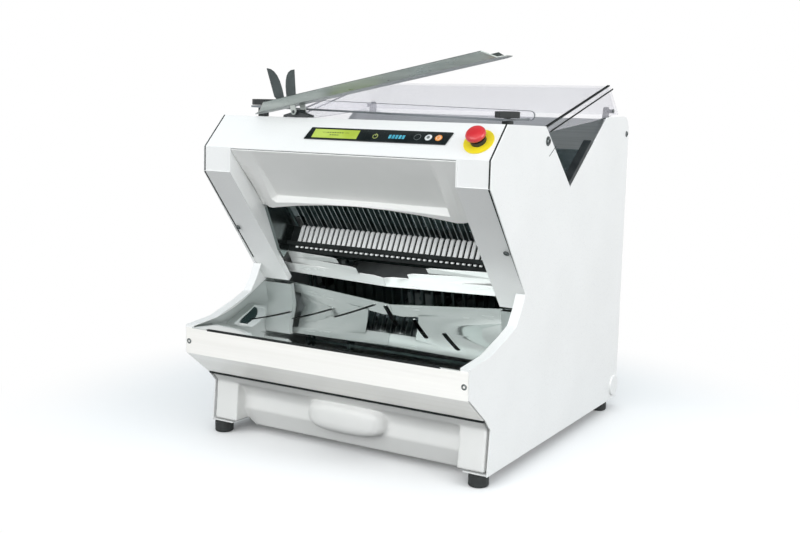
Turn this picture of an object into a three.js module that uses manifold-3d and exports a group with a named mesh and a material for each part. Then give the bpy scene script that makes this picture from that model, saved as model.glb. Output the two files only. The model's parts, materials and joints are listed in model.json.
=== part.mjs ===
// Countertop bread slicing machine: two opposed frames of blades behind a hooded outfeed,
// a slanted loaf bed under a clear lid, a polished outfeed table and a crumb drawer.
// Millimetres, +Z up, the operator stands at -Y. The origin is the middle of the box, on the floor.

import * as THREE from 'three';
import { mergeVertices } from 'three/addons/utils/BufferGeometryUtils.js';
import Module from 'manifold-3d';

const wasm = await Module();
wasm.setup();

// Driving sizes
const width = 650;
const depth = 755;
const degree = Math.PI / 180;
const fit = 0.3;
const slip = 0.5;
const overrun = 5;
const halfWidth = width / 2;

// Room kept from each side of the body, and from its rear
const sideRoom = {
  pillarInner: 70, pillarOuter: 3, rod: 55, cheek: 77.5, guide: 71, rail: 21, foot: 23, drawer: 41,
  runner: 32, fascia: 8, lid: 7, hinge: 27, blades: 97, window: 63, pusher: 89, shelf: 25, knob: 41,
  stop: 41.7, display: 105, ear: 58,
};
const rearRoom = {
  notch: 141, ridge: 113, tail: 53, flap: 195, pin: 88, deck: 131, foot: 55, base: 7, bed: 145,
  motor: 155, cap: 25,
};

// Facets of round pieces, from slim rods to wheels
const slimSides = 12;
const pinSides = 16;
const roundSides = 20;
const wheelSides = 24;

const sheet = { side: 2.5, frame: 2, table: 1.5, bed: 2, base: 3 };
const innerHalf = halfWidth - sheet.side;
const spanHalf = innerHalf - fit;

// Side panel outline, seen from the side: y to the rear, z up
const leg = { front: 80, knee: { y: 89, z: 86 }, tuck: { y: 65, z: 112 } };
const lip = { y: 0, bottom: 163, top: 220 };
const lipRise = { y: 75, z: 227 };
const lipSweep = { y: 150, z: 250 };
const lipEnd = { y: 186, z: 264 };
const throatLow = { y: 206, z: 291 };
const throatTop = { y: 221, z: 320 };
const brow = { y: 59, z: 528 };
const chamferLow = { y: 60, z: 579 };
const chamferTop = { y: 122, z: 641 };
const deckFront = { y: 290, z: 635 };
const notch = { y: 422.6, z: 511 };
const notchRear = { y: depth - rearRoom.notch, z: 648.6 };
const crown = { z: 650, radius: 30 };
const flange = { lip: 20, foot: 52, rear: 20 };

// Cutting plane: starts at the brow and leans back under the operator's side
const lean = 51.06 * degree;
const blade = { pitch: 12.6, thickness: 1, wide: 10, tooth: 2.6, toothPitch: 22 };
const bladeCount = 2 * Math.floor((halfWidth - sideRoom.blades) / blade.pitch) + 1;
const stroke = 15;
const bar = { topMiddle: 20, bottomMiddle: 320, half: 8, thick: 12 };
const frameDepthA = 95;
const frameDepthB = 111.5;
const rod = { radius: 4, x: halfWidth - sideRoom.rod, clearance: 0.3, boss: 6.6, bossHalf: 13 };
const crossMember = { topMiddle: -28, bottomMiddle: 378, half: 6, front: 82, back: 126, wall: 3 };
const cutEdge = { top: 88, bottom: 262 };

// Pillars and hood
const pillar = {
  inner: halfWidth - sideRoom.pillarInner, outer: halfWidth - sideRoom.pillarOuter, length: 315,
  returnTop: 39, returnBottom: 12, taperFrom: 131, taperTo: 233,
};
const hood = { top: -36, recessBottom: 85.6, edgeMiddle: 89.6, edgeSide: 121, thick: 3 };
const hoodDepth = { top: 29.5, floorTop: 28.7, floorBottom: 33, lip: 20, side: 37 };
const hoodRecess = {
  half: pillar.inner - 49, floorHalf: pillar.inner - 57, wingHalf: pillar.inner - 41,
  floorShares: [0.28, 0.55], wingShares: [0.89, 0.95],
  downShares: [0, 0.25, 0.45, 0.62, 0.78, 0.9, 1], lipShares: [0.4, 0.8, 1],
};

// Outfeed comb, guide plates and table
const comb = {
  tipY: 238, fingerWide: 8.6, fingerThick: 7,
  topY: 275, topZ: 402, neckY: 244, neckZ: 373,
};
const combBar = { y: 236.5, thick: 6, bottom: 366, top: 374 };
const combSpine = { y: 250, deep: 12, drop: 9 };
const cheek = { x: halfWidth - sideRoom.cheek, thick: 1.5, top: 93, bottom: 252, back: 86 };
const combHalf = cheek.x - fit;
const guide = {
  outer: halfWidth - sideRoom.guide, thick: 1.5, step: 0.9, lap: 3,
  top: { y: 246.8, z: 349.9 }, low: { y: 277.8, z: 300.8 }, lowerShares: [0.3, 0.63, 1], roundShare: 0.07,
};
const upperTip = { x: 107.8, topY: 216.6, topZ: 349.8, lowY: 229.5, lowZ: 337.5 };
const middleTip = { x: 61.5, topY: 223.7, topZ: 330.6, lowY: 236.9, lowZ: 316.4 };
const lowerTip = { x: 0.3, topY: 232, topZ: 317.5, lowY: 246.7, lowZ: 297.5 };
const table = {
  front: 3, earFront: -5, earInner: halfWidth - sideRoom.ear, height: 217,
  flatEnd: 50, bend: 350, slope: 25 * degree, rear: 300,
};
const slot = {
  x: 245.2, y: 108.9, acrossPitch: 84.8, backPitch: 29.5,
  spanX: 65.1, spanY: 57.9, wide: 8, perSide: 3,
};
const apron = { thick: 1.5 };

// Loaf bed and pusher, measured along the bed from the foot of the blades
const bed = { start: 30.8, top: { y: 275, z: 402 }, endZ: 645.39, tail: 12, tailDrop: 30 };
const bedRun = depth - rearRoom.bed - bed.top.y;
const bedRise = bed.endZ - bed.top.z;
const bedAngle = Math.atan2(bedRise, bedRun);
const bedEnd = Math.hypot(bedRun, bedRise);
const railShares = { from: 0.29, to: 0.795 };
const rail = {
  from: bedEnd * railShares.from, to: bedEnd * railShares.to, inner: halfWidth - sideRoom.rail,
  above: 9, below: 12,
};
const pusherShares = { at: 0.47333, forward: 0.37432, back: 0.2898 };
const pusher = {
  at: bedEnd * pusherShares.at, forward: bedEnd * pusherShares.forward, back: bedEnd * pusherShares.back,
  thick: 8, half: halfWidth - sideRoom.pusher, height: 84, lift: 3, fingerPitch: 25.2, fingerGap: 5,
};
const pusherArm = { x: 60, wide: 8, slotWide: 14, below: 34 };
const screwEndRoom = 62;
const screw = { radius: 7, neckRadius: 5, below: 30, from: 48, to: bedEnd - screwEndRoom };
const nut = { half: 68, ahead: 10, long: 22, tall: 22 };
const gearmotor = { radius: 32, long: 37, neck: 9 };

// Drive
const crank = {
  along: 470, back: 103, throw: stroke,
  discRadius: 28, discThick: 10, discInner: 148, shaftRadius: 12,
};
const conrod = { inner: 164, thick: 10, eye: 14, smallEye: 8, pin: 5, crankPin: 7, waist: 5 };
const lug = { inner: 150, thick: 8, half: 8, top: 325, eyeAlong: 342 };
const bearing = { x: 90, thick: 20, ring: 26, foot: 34 };
const pulley = { half: 12, rim: 3, crankRadius: 55, motorRadius: 28 };
const belt = { thick: 5, half: 10 };
const motor = { y: depth - rearRoom.motor, radius: 75, shoulder: 54, from: 22, long: 215, cowl: 40, foot: 70, shaft: 9 };

// Base, drawer and feet
const base = {
  z: 88, front: 104, rear: depth - rearRoom.base,
  windowHalf: halfWidth - sideRoom.window, windowFront: 138, windowRear: 390,
};
const foot = {
  radius: 19.5, height: 22, x: halfWidth - sideRoom.foot, front: 92, rear: depth - rearRoom.foot, taper: 2,
};
const sideCap = { radius: 23.5, out: 4, round: 1.5, z: 31.6 };
const drawer = { half: halfWidth - sideRoom.drawer, wall: 1.5, bottom: 9, top: 66, rear: 445, hem: 20 };
const runner = { inner: halfWidth - sideRoom.runner, thick: 2.5, drop: 22 };
const fascia = {
  half: halfWidth - sideRoom.fascia, blockWide: 56, foot: 5.5, toe: 81, knee: { y: 88, z: 87 },
  top: { y: 72.5, z: 105 }, topBack: 100, shelf: 84, back: 131,
  bandTop: { y: 116.5, z: 56 }, bandLow: { y: 112.5, z: 29.5 }, lip: { y: 126, z: -9 }, lipHalf: 245,
};
const cove = { y1: 101, z1: 80.5, y2: 109.5, z2: 72, y3: 114.5, z3: 63.5 };
const grip = { x: -1, half: 91, z: 53, tall: 33, reach: 36.5, fullness: 3.2 };

// Controls on the chamfer, measured up from its lower edge
const display = { left: -91, right: halfWidth - sideRoom.display, low: 31, high: 61, thick: 2.4, skew: 6 };
const screen = { left: -75, right: 28, low: 35, high: 57, sunk: 1.2 };
const stop = {
  x: halfWidth - sideRoom.stop, up: 42.8, plate: 29, plateThick: 1.6, collar: 15, collarTop: 10, bore: 8.6, stem: 8,
  head: 19, headBottom: 15.6, headTop: 28, shoulderShare: 0.86, domeShare: 0.55,
};

// Lid
const lid = {
  front: { y: 310, z: 632 }, ridge: { y: depth - rearRoom.ridge, z: 716 },
  tail: { y: depth - rearRoom.tail, z: 656 },
  thick: 4, half: halfWidth - sideRoom.lid,
};
const lidFlap = { thick: 4, frontDrop: 9, lowY: depth - rearRoom.flap, lowZ: 642 };
const lidPin = {
  y: depth - rearRoom.pin, z: 661.5, radius: 4, boss: 10, corner: 8.7,
  bracketInner: halfWidth - sideRoom.hinge, bracketThick: 8,
};
const rearDeck = { z: 609, front: depth - rearRoom.deck };
const vent = { rows: 7, pitch: 14, tall: 5, wide: 150, gap: 60, top: 330 };

// Clear shelf with its two star knobs
const shelf = {
  front: 172, rear: 292, half: halfWidth - sideRoom.shelf, thick: 4, tilt: 1.2 * degree, middleZ: 655.4,
  lip: 18, knobX: halfWidth - sideRoom.knob, knobY: 204, hole: 6,
};
const knob = { cap: 24.5, capTall: 12, lobes: 7, dent: 3, shaft: 5, flange: 11 };

// Bagging tray
const tray = { x: -139, y: 130, z: 652, slope: 11.6 * degree, left: -108, right: 470, thick: 1.5 };
const trough = {
  taper: 62, taperRight: 46, floorHalf: 22, half: 36,
  floor: 14, tall: 15, nose: 18, heel: 13,
};
const trayEar = { half: 15, thick: 3, radius: 6, pin: 3 };
const trayPost = { long: 30, half: 10.5, thick: 4 };
const paddle = { x: -28, inner: 5, barrel: 6, wide: 30, tall: 62, thick: 2.5, lean: 10, curve: 2.2 };

// Materials
const paint = { color: 0xf1f3f2, roughness: 0.35, metalness: 0 };
const moulding = { color: 0xeceeea, roughness: 0.45, metalness: 0 };
const steel = { color: 0xb9bdb8, roughness: 0.3, metalness: 1 };
const mirror = { color: 0xa9b4b2, roughness: 0.08, metalness: 1 };
const bladeSteel = { color: 0x9aa3a2, roughness: 0.25, metalness: 1 };
const casting = { color: 0x4c5352, roughness: 0.55, metalness: 0.6 };
const rubber = { color: 0x17191a, roughness: 0.8, metalness: 0 };
const nylon = { color: 0xe9ece9, roughness: 0.5, metalness: 0 };
const blackPlastic = { color: 0x1d2225, roughness: 0.4, metalness: 0 };
const acrylic = { color: 0xdedbe6, roughness: 0.1, metalness: 0 };
const greyPlastic = { color: 0x3c4443, roughness: 0.5, metalness: 0 };
const liquidCrystal = { color: 0xc6d33a, roughness: 0.3, metalness: 0 };
const yellow = { color: 0xf2dc1c, roughness: 0.4, metalness: 0 };
const red = { color: 0xd8262f, roughness: 0.35, metalness: 0 };

// Solids and joins
function toSolid(geometry) {
  const plain = geometry.clone();
  plain.deleteAttribute('normal');
  plain.deleteAttribute('uv');
  const merged = mergeVertices(plain);
  return new wasm.Manifold(new wasm.Mesh({
    numProp: 3,
    vertProperties: new Float32Array(merged.attributes.position.array),
    triVerts: new Uint32Array(merged.index.array),
  }));
}

function toGeometry(solid) {
  const mesh = solid.getMesh();
  const geometry = new THREE.BufferGeometry();
  geometry.setAttribute('position', new THREE.BufferAttribute(new Float32Array(mesh.vertProperties), 3));
  geometry.setIndex(new THREE.BufferAttribute(new Uint32Array(mesh.triVerts), 1));
  geometry.computeVertexNormals();
  return geometry;
}

function fuse(...pieces) {
  return toGeometry(pieces.map(toSolid).reduce((sum, next) => sum.add(next)));
}

function carve(body, ...tools) {
  return toGeometry(tools.map(toSolid).reduce((rest, tool) => rest.subtract(tool), toSolid(body)));
}

function overlapOf(body, limit) {
  return toGeometry(toSolid(body).intersect(toSolid(limit)));
}

function box(x0, x1, y0, y1, z0, z1) {
  const geometry = new THREE.BoxGeometry(x1 - x0, y1 - y0, z1 - z0);
  return geometry.translate((x0 + x1) / 2, (y0 + y1) / 2, (z0 + z1) / 2);
}

// Two distances from the middle, put in order on the given side
function sided(side, a, b) {
  return side > 0 ? [a, b] : [-b, -a];
}

function shapeOf(outline, holes = []) {
  const shape = new THREE.Shape(outline.map(([a, b]) => new THREE.Vector2(a, b)));
  for (const hole of holes) {
    shape.holes.push(new THREE.Path(hole.map(([a, b]) => new THREE.Vector2(a, b))));
  }
  return shape;
}

function extrude(outline, from, to, holes) {
  const settings = { depth: to - from, bevelEnabled: false };
  const geometry = new THREE.ExtrudeGeometry(shapeOf(outline, holes), settings);
  return geometry.translate(0, 0, from);
}

// Outline in (y, z), run along x
function prismX(outline, x0, x1, holes) {
  const turn = new THREE.Matrix4().makeBasis(
    new THREE.Vector3(0, 1, 0), new THREE.Vector3(0, 0, 1), new THREE.Vector3(1, 0, 0));
  return extrude(outline, x0, x1, holes).applyMatrix4(turn);
}

// Outline in (x, z), run along y
function prismY(outline, y0, y1, holes) {
  const turn = new THREE.Matrix4().makeBasis(
    new THREE.Vector3(1, 0, 0), new THREE.Vector3(0, 0, 1), new THREE.Vector3(0, -1, 0));
  return extrude(outline, -y1, -y0, holes).applyMatrix4(turn);
}

function prismZ(outline, z0, z1, holes) {
  return extrude(outline, z0, z1, holes);
}

function circle(a, b, radius, sides, start = 0) {
  return Array.from({ length: sides }, (_, i) => {
    const angle = start + 2 * Math.PI * i / sides;
    return [a + radius * Math.cos(angle), b + radius * Math.sin(angle)];
  });
}

function cylinderX(y, z, radius, x0, x1, sides = pinSides) {
  return prismX(circle(y, z, radius, sides), x0, x1);
}

function cylinderY(x, z, radius, y0, y1, sides = pinSides) {
  return prismY(circle(x, z, radius, sides), y0, y1);
}

function cylinderZ(x, y, radius, z0, z1, sides = pinSides) {
  return prismZ(circle(x, y, radius, sides), z0, z1);
}

// A turned piece: radius and height pairs from axis to axis, about the Y axis
function lathe(profile, sides) {
  return new THREE.LatheGeometry(profile.map(([r, h]) => new THREE.Vector2(r, h)), sides);
}

function unit(a, b) {
  const length = Math.hypot(b[0] - a[0], b[1] - a[1]);
  return [(b[0] - a[0]) / length, (b[1] - a[1]) / length];
}

// A mitred copy of an open line, moved to its left by the distance
function offsetLine(points, distance) {
  return points.map((point, i) => {
    const into = i > 0 ? unit(points[i - 1], point) : unit(point, points[i + 1]);
    const out = i < points.length - 1 ? unit(point, points[i + 1]) : into;
    const share = distance / (1 + into[0] * out[0] + into[1] * out[1]);
    return [point[0] - (into[1] + out[1]) * share, point[1] + (into[0] + out[0]) * share];
  });
}

// A folded sheet's section: the band between two offsets of one line
function ribbon(points, near, far) {
  return [...offsetLine(points, near), ...offsetLine(points, far).reverse()];
}

function mirrored(geometry) {
  const copy = geometry.index ? geometry.toNonIndexed() : geometry.clone();
  copy.scale(-1, 1, 1);
  const position = copy.attributes.position;
  for (let i = 0; i < position.count; i += 3) {
    const held = new THREE.Vector3().fromBufferAttribute(position, i + 1);
    position.setXYZ(i + 1, position.getX(i + 2), position.getY(i + 2), position.getZ(i + 2));
    position.setXYZ(i + 2, held.x, held.y, held.z);
  }
  copy.computeVertexNormals();
  return copy;
}

// A closed skin between two grids of points with the same rows and columns
function slab(front, back) {
  const rows = front.length;
  const columns = front[0].length;
  const points = [...front.flat(), ...back.flat()];
  const at = (side, r, c) => side * rows * columns + r * columns + c;
  const index = [];
  const quad = (a, b, c, d) => index.push(a, b, c, a, c, d);
  for (let r = 0; r < rows - 1; r += 1) {
    for (let c = 0; c < columns - 1; c += 1) {
      quad(at(0, r, c), at(0, r + 1, c), at(0, r + 1, c + 1), at(0, r, c + 1));
      quad(at(1, r, c), at(1, r, c + 1), at(1, r + 1, c + 1), at(1, r + 1, c));
    }
  }
  for (let c = 0; c < columns - 1; c += 1) {
    quad(at(0, 0, c), at(0, 0, c + 1), at(1, 0, c + 1), at(1, 0, c));
    quad(at(0, rows - 1, c + 1), at(0, rows - 1, c), at(1, rows - 1, c), at(1, rows - 1, c + 1));
  }
  for (let r = 0; r < rows - 1; r += 1) {
    quad(at(0, r + 1, 0), at(0, r, 0), at(1, r, 0), at(1, r + 1, 0));
    const last = columns - 1;
    quad(at(0, r, last), at(0, r + 1, last), at(1, r + 1, last), at(1, r, last));
  }
  const geometry = new THREE.BufferGeometry();
  geometry.setAttribute('position', new THREE.Float32BufferAttribute(points.flat(), 3));
  geometry.setIndex(index);
  geometry.computeVertexNormals();
  return geometry;
}

function smooth(value) {
  const t = Math.min(Math.max(value, 0), 1);
  return t * t * (3 - 2 * t);
}

const mix = (a, b, share) => a + (b - a) * share;

// Frames of reference
const machine = new THREE.Group();
const down = { y: Math.cos(lean), z: -Math.sin(lean) };
const back = { y: Math.sin(lean), z: Math.cos(lean) };
const cutting = new THREE.Group();
cutting.matrix.makeBasis(
  new THREE.Vector3(1, 0, 0), new THREE.Vector3(0, down.y, down.z), new THREE.Vector3(0, back.y, back.z));
cutting.matrix.setPosition(0, brow.y, brow.z);
cutting.matrix.decompose(cutting.position, cutting.quaternion, cutting.scale);

const bedFrame = new THREE.Group();
bedFrame.position.set(0, bed.top.y, bed.top.z);
bedFrame.rotation.x = bedAngle;

const chamferAngle = Math.atan2(chamferTop.z - chamferLow.z, chamferTop.y - chamferLow.y);
const controls = new THREE.Group();
controls.position.set(0, chamferLow.y, chamferLow.z);
controls.rotation.x = chamferAngle;
machine.add(cutting, bedFrame, controls);

const inMachine = (along, deep) => [
  brow.y + along * down.y + deep * back.y,
  brow.z + along * down.z + deep * back.z,
];

function place(name, geometry, material, parent = machine) {
  const mesh = new THREE.Mesh(geometry, new THREE.MeshStandardMaterial(material));
  mesh.name = name;
  parent.add(mesh);
  return mesh;
}

function placePair(name, geometry, material, parent = machine) {
  place(`${name}_right`, geometry, material, parent);
  place(`${name}_left`, mirrored(geometry), material, parent);
}

// Side panels: one pressed sheet each, with its edges turned in at the lip, the foot and the back
function sidePanel() {
  const cornerSteps = 5;
  const corner = Array.from({ length: cornerSteps + 1 }, (_, i) => {
    const angle = Math.PI / 2 * (1 - i / cornerSteps);
    return [
      depth - crown.radius + crown.radius * Math.cos(angle),
      crown.z - crown.radius + crown.radius * Math.sin(angle),
    ];
  });
  const front = [
    [leg.tuck.y, leg.tuck.z],
    [lip.y, lip.bottom],
    [lip.y, lip.top],
    [lipRise.y, lipRise.z],
    [lipSweep.y, lipSweep.z],
    [lipEnd.y, lipEnd.z],
    [throatLow.y, throatLow.z],
    [throatTop.y, throatTop.z],
  ];
  const outline = [
    [leg.front, 0],
    [leg.knee.y, leg.knee.z],
    ...front,
    [brow.y, brow.z],
    [chamferLow.y, chamferLow.z],
    [chamferTop.y, chamferTop.z],
    [deckFront.y, deckFront.z],
    [notch.y, notch.z],
    [notchRear.y, notchRear.z],
    ...corner,
    [depth, 0],
  ];
  const skin = prismX(outline, innerHalf, halfWidth);
  const joined = innerHalf + fit;
  const cap = lathe([
    [0, joined],
    [sideCap.radius, joined],
    [sideCap.radius, halfWidth + sideCap.out - sideCap.round],
    [sideCap.radius - sideCap.round, halfWidth + sideCap.out],
    [0, halfWidth + sideCap.out],
  ], wheelSides).rotateZ(-Math.PI / 2).translate(0, depth - rearRoom.cap, sideCap.z);
  const turnedLip = prismX(ribbon(front, 0, -sheet.side), halfWidth - flange.lip, joined);
  const turnedFoot = box(halfWidth - flange.foot, joined, leg.front + sheet.side, depth, 0, sheet.side);
  const turnedBack = box(halfWidth - flange.rear, joined, depth - sheet.side, depth, 0, rearDeck.z);
  return fuse(skin, cap, turnedLip, turnedFoot, turnedBack);
}

// Cover over the top, its chamfer for the controls, the two pillars and the trough's front wall
function frontFrame() {
  const wallFoot = inMachine(cutEdge.top + overrun, crossMember.back);
  const line = [
    [brow.y, brow.z],
    [chamferLow.y, chamferLow.z],
    [chamferTop.y, chamferTop.z],
    [deckFront.y, deckFront.z],
    wallFoot,
  ];
  const cover = prismX(ribbon(line, 0, -sheet.frame), -spanHalf, spanHalf);
  const browCut = box(-pillar.inner, pillar.inner, -overrun, chamferTop.y,
    brow.z - overrun, chamferLow.z - sheet.frame);
  const wallCut = [1, -1].map((side) => prismX([
    [deckFront.y - sheet.frame, deckFront.z - 2 * sheet.frame],
    [wallFoot[0] - flange.foot, deckFront.z - 2 * sheet.frame],
    [wallFoot[0] - flange.foot, wallFoot[1] - flange.foot],
    [deckFront.y - sheet.frame, wallFoot[1] - flange.foot],
  ], ...sided(side, rod.x - 2 * rod.boss, halfWidth)));
  const top = carve(cover, browCut, ...wallCut);
  const foot0 = inMachine(-sheet.frame, 0);
  const foot1 = inMachine(pillar.length, 0);
  const face = prismX(ribbon([foot0, foot1], 0, sheet.frame), pillar.inner, pillar.outer);
  const returnOutline = [
    inMachine(-sheet.frame, 0),
    inMachine(pillar.length, 0),
    inMachine(pillar.length, pillar.returnBottom),
    inMachine(pillar.taperTo, pillar.returnBottom + sheet.frame),
    inMachine(pillar.taperFrom, pillar.returnTop),
    inMachine(hood.edgeSide, pillar.returnTop),
    inMachine(-pillar.returnTop, hoodDepth.top),
  ];
  const inside = prismX(returnOutline, pillar.inner, pillar.inner + sheet.frame);
  const outside = prismX([
    inMachine(0, 0),
    inMachine(pillar.length, 0),
    inMachine(pillar.length, pillar.returnBottom),
    inMachine(0, pillar.returnBottom),
  ], pillar.outer - sheet.frame, pillar.outer);
  const column = fuse(face, inside, outside);
  return fuse(top, column, mirrored(column));
}

// Hood: a moulded panel with a flat recess, side wings and an arched lower lip
function hoodPanel() {
  const half = pillar.inner - slip;
  const acrossShares = [0, ...hoodRecess.floorShares, hoodRecess.floorHalf / half, hoodRecess.half / half,
    hoodRecess.wingHalf / half, ...hoodRecess.wingShares, 1];
  const columns = [...acrossShares.slice(1).map((share) => -share).reverse(), ...acrossShares];
  const bottomDepth = (across) => mix(
    hoodDepth.lip, hoodDepth.side,
    smooth((across * half - hoodRecess.wingHalf) / (half - hoodRecess.wingHalf)));
  const rimDepth = (across, along) => mix(
    hoodDepth.top, bottomDepth(across), smooth((along - hood.top) / (hood.edgeMiddle - hood.top)));
  const floorDepth = (along) => mix(
    hoodDepth.floorTop, hoodDepth.floorBottom, (along - hood.top) / (hood.recessBottom - hood.top));
  const rows = [];
  for (const share of hoodRecess.downShares) {
    rows.push(columns.map((across) => {
      const along = mix(hood.top, hood.recessBottom, share);
      const rim = rimDepth(Math.abs(across), along);
      const inRecess = Math.abs(across) * half <= hoodRecess.floorHalf + fit;
      return [across * half, along, inRecess ? Math.max(rim, floorDepth(along)) : rim];
    }));
  }
  for (const share of hoodRecess.lipShares) {
    rows.push(columns.map((across) => {
      const edge = mix(hood.edgeMiddle, hood.edgeSide, across * across);
      const along = mix(hood.recessBottom, edge, share);
      return [across * half, along, rimDepth(Math.abs(across), along)];
    }));
  }
  const rear = rows.map((row) => row.map(([x, along, deep]) => [x, along, deep + hood.thick]));
  return slab(rows, rear);
}

// Apron: brushed sheet over the lip, slanting in above the drawer
function frontApron() {
  const line = [
    [leg.tuck.y, leg.tuck.z],
    [lip.y, lip.bottom],
    [lip.y, table.height - sheet.table - fit],
  ];
  return prismX(ribbon(line, fit, fit + apron.thick), -spanHalf, spanHalf);
}

// Outfeed table: flat at the front, then a wide bend up to the guide plates, with crumb slots
function tableHeight(y) {
  const bendEnd = table.flatEnd + table.bend * Math.sin(table.slope);
  if (y <= table.flatEnd) {
    return table.height;
  }
  if (y <= bendEnd) {
    return table.height + table.bend - Math.sqrt(table.bend ** 2 - (y - table.flatEnd) ** 2);
  }
  return tableHeight(bendEnd) + (y - bendEnd) * Math.tan(table.slope);
}

function outfeedTable() {
  const bendSteps = 8;
  const bendEnd = table.flatEnd + table.bend * Math.sin(table.slope);
  const bend = Array.from({ length: bendSteps + 1 }, (_, i) => {
    const y = table.flatEnd + table.bend * Math.sin(table.slope * i / bendSteps);
    return [y, tableHeight(y)];
  });
  const line = [
    [table.earFront, table.height],
    ...bend,
    [table.rear, tableHeight(table.rear)],
  ];
  const half = innerHalf - slip;
  const top = prismX(ribbon(line, 0, -sheet.table), -half, half);
  const low = table.height - overrun;
  const high = tableHeight(bendEnd) + overrun;
  const tools = [box(-table.earInner, table.earInner, table.earFront - overrun, table.front, low, high)];
  for (const side of [-1, 1]) {
    tools.push(box(...sided(side, halfWidth - flange.lip - slip, halfWidth + overrun),
      table.earFront - overrun, lip.y + sheet.side + slip, low, high));
    for (let i = 0; i < slot.perSide; i += 1) {
      const x = slot.x - i * slot.acrossPitch;
      const y = slot.y + i * slot.backPitch;
      tools.push(slotTool(side * x, y, side * (x - slot.spanX), y + slot.spanY));
    }
  }
  return carve(top, ...tools);
}

function slotTool(x0, y0, x1, y1) {
  const radius = slot.wide / 2;
  const endSteps = 4;
  const heading = Math.atan2(y1 - y0, x1 - x0);
  const around = (x, y, from) => Array.from({ length: endSteps + 1 }, (_, i) => {
    const angle = from + Math.PI * i / endSteps;
    return [x + radius * Math.cos(angle), y + radius * Math.sin(angle)];
  });
  const along = [Math.cos(heading), Math.sin(heading)];
  const outline = [
    ...around(x0 + along[0] * radius, y0 + along[1] * radius, heading + Math.PI / 2),
    ...around(x1 - along[0] * radius, y1 - along[1] * radius, heading - Math.PI / 2),
  ];
  return prismZ(outline, table.height - overrun, tableHeight(table.rear) + overrun);
}

// Comb: fingers between the blades carry the slices out, tied by a spine under the clamp bar
function outfeedComb() {
  const slopeUnit = unit([comb.neckY, comb.neckZ], [comb.topY, comb.topZ]);
  const noseTop = combBar.bottom - fit;
  const finger = [
    [comb.tipY, noseTop - comb.fingerThick],
    [combSpine.y + combSpine.deep, noseTop - comb.fingerThick],
    [comb.topY + slopeUnit[1] * comb.fingerThick / 2, comb.topZ - slopeUnit[0] * comb.fingerThick],
    [comb.topY, comb.topZ],
    [comb.neckY, comb.neckZ],
    [comb.neckY, noseTop],
    [comb.tipY, noseTop],
  ];
  const pieces = [box(-combHalf, combHalf, combSpine.y, combSpine.y + combSpine.deep,
    noseTop - combSpine.drop, noseTop - sheet.frame)];
  const gaps = bladeCount - 1;
  for (let i = 0; i < gaps; i += 1) {
    const x = (i - (gaps - 1) / 2) * blade.pitch;
    pieces.push(prismX(finger, x - comb.fingerWide / 2, x + comb.fingerWide / 2));
  }
  const endInner = combHalf - comb.fingerWide - fit;
  pieces.push(prismX(finger, endInner, combHalf), prismX(finger, -combHalf, -endInner));
  return fuse(...pieces);
}

// Guide plates: three lapped strips on each side, meeting in the middle
function guidePlates() {
  const tips = [upperTip, middleTip, lowerTip];
  return tips.map((tip, i) => {
    const first = i === 0;
    const upper = first ? 0 : guide.lowerShares[i - 1];
    const lower = guide.lowerShares[i];
    const step = (tips.length - 1 - i) * guide.step;
    const lap = first ? 0 : guide.lap;
    const outer = i === tips.length - 1 ? spanHalf : guide.outer;
    const corner = (x, { y, z }, lift) => [x, y + step, z + lift];
    const edge = (share) => ({
      y: mix(guide.top.y, guide.low.y, share),
      z: mix(guide.top.z, guide.low.z, share),
    });
    const between = (from, to, share) => from.map((value, k) => mix(value, to[k], share));
    const topOuter = corner(outer, edge(upper), lap);
    const lowOuter = corner(outer, edge(lower), 0);
    const topTip = corner(tip.x, { y: tip.topY, z: tip.topZ }, lap);
    const lowTip = corner(tip.x, { y: tip.lowY, z: tip.lowZ }, 0);
    const nearShare = 1 - guide.roundShare;
    const front = [
      [lowOuter, between(lowOuter, lowTip, nearShare), lowTip],
      [topOuter, between(topOuter, topTip, nearShare), between(topTip, lowTip, 2 * guide.roundShare)],
    ];
    const rear = front.map((row) => row.map(([x, y, z]) => [x, y + guide.thick, z + guide.thick / 2]));
    return slab(front, rear);
  });
}

// Blade frame: two bars with guide bosses and a row of blades with scalloped edges
function bladeOutline(middle) {
  const front = middle - blade.wide / 2;
  const rear = middle + blade.wide / 2;
  const teeth = Math.floor((cutEdge.bottom - cutEdge.top) / blade.toothPitch);
  const points = [
    [bar.topMiddle, front],
    [bar.bottomMiddle, front],
    [bar.bottomMiddle, rear],
  ];
  for (let i = 0; i < teeth; i += 1) {
    const start = cutEdge.bottom - i * blade.toothPitch;
    points.push([start, rear]);
    points.push([start - blade.toothPitch / 2, rear - blade.tooth]);
  }
  points.push([cutEdge.bottom - teeth * blade.toothPitch, rear], [bar.topMiddle, rear]);
  return points;
}

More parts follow.
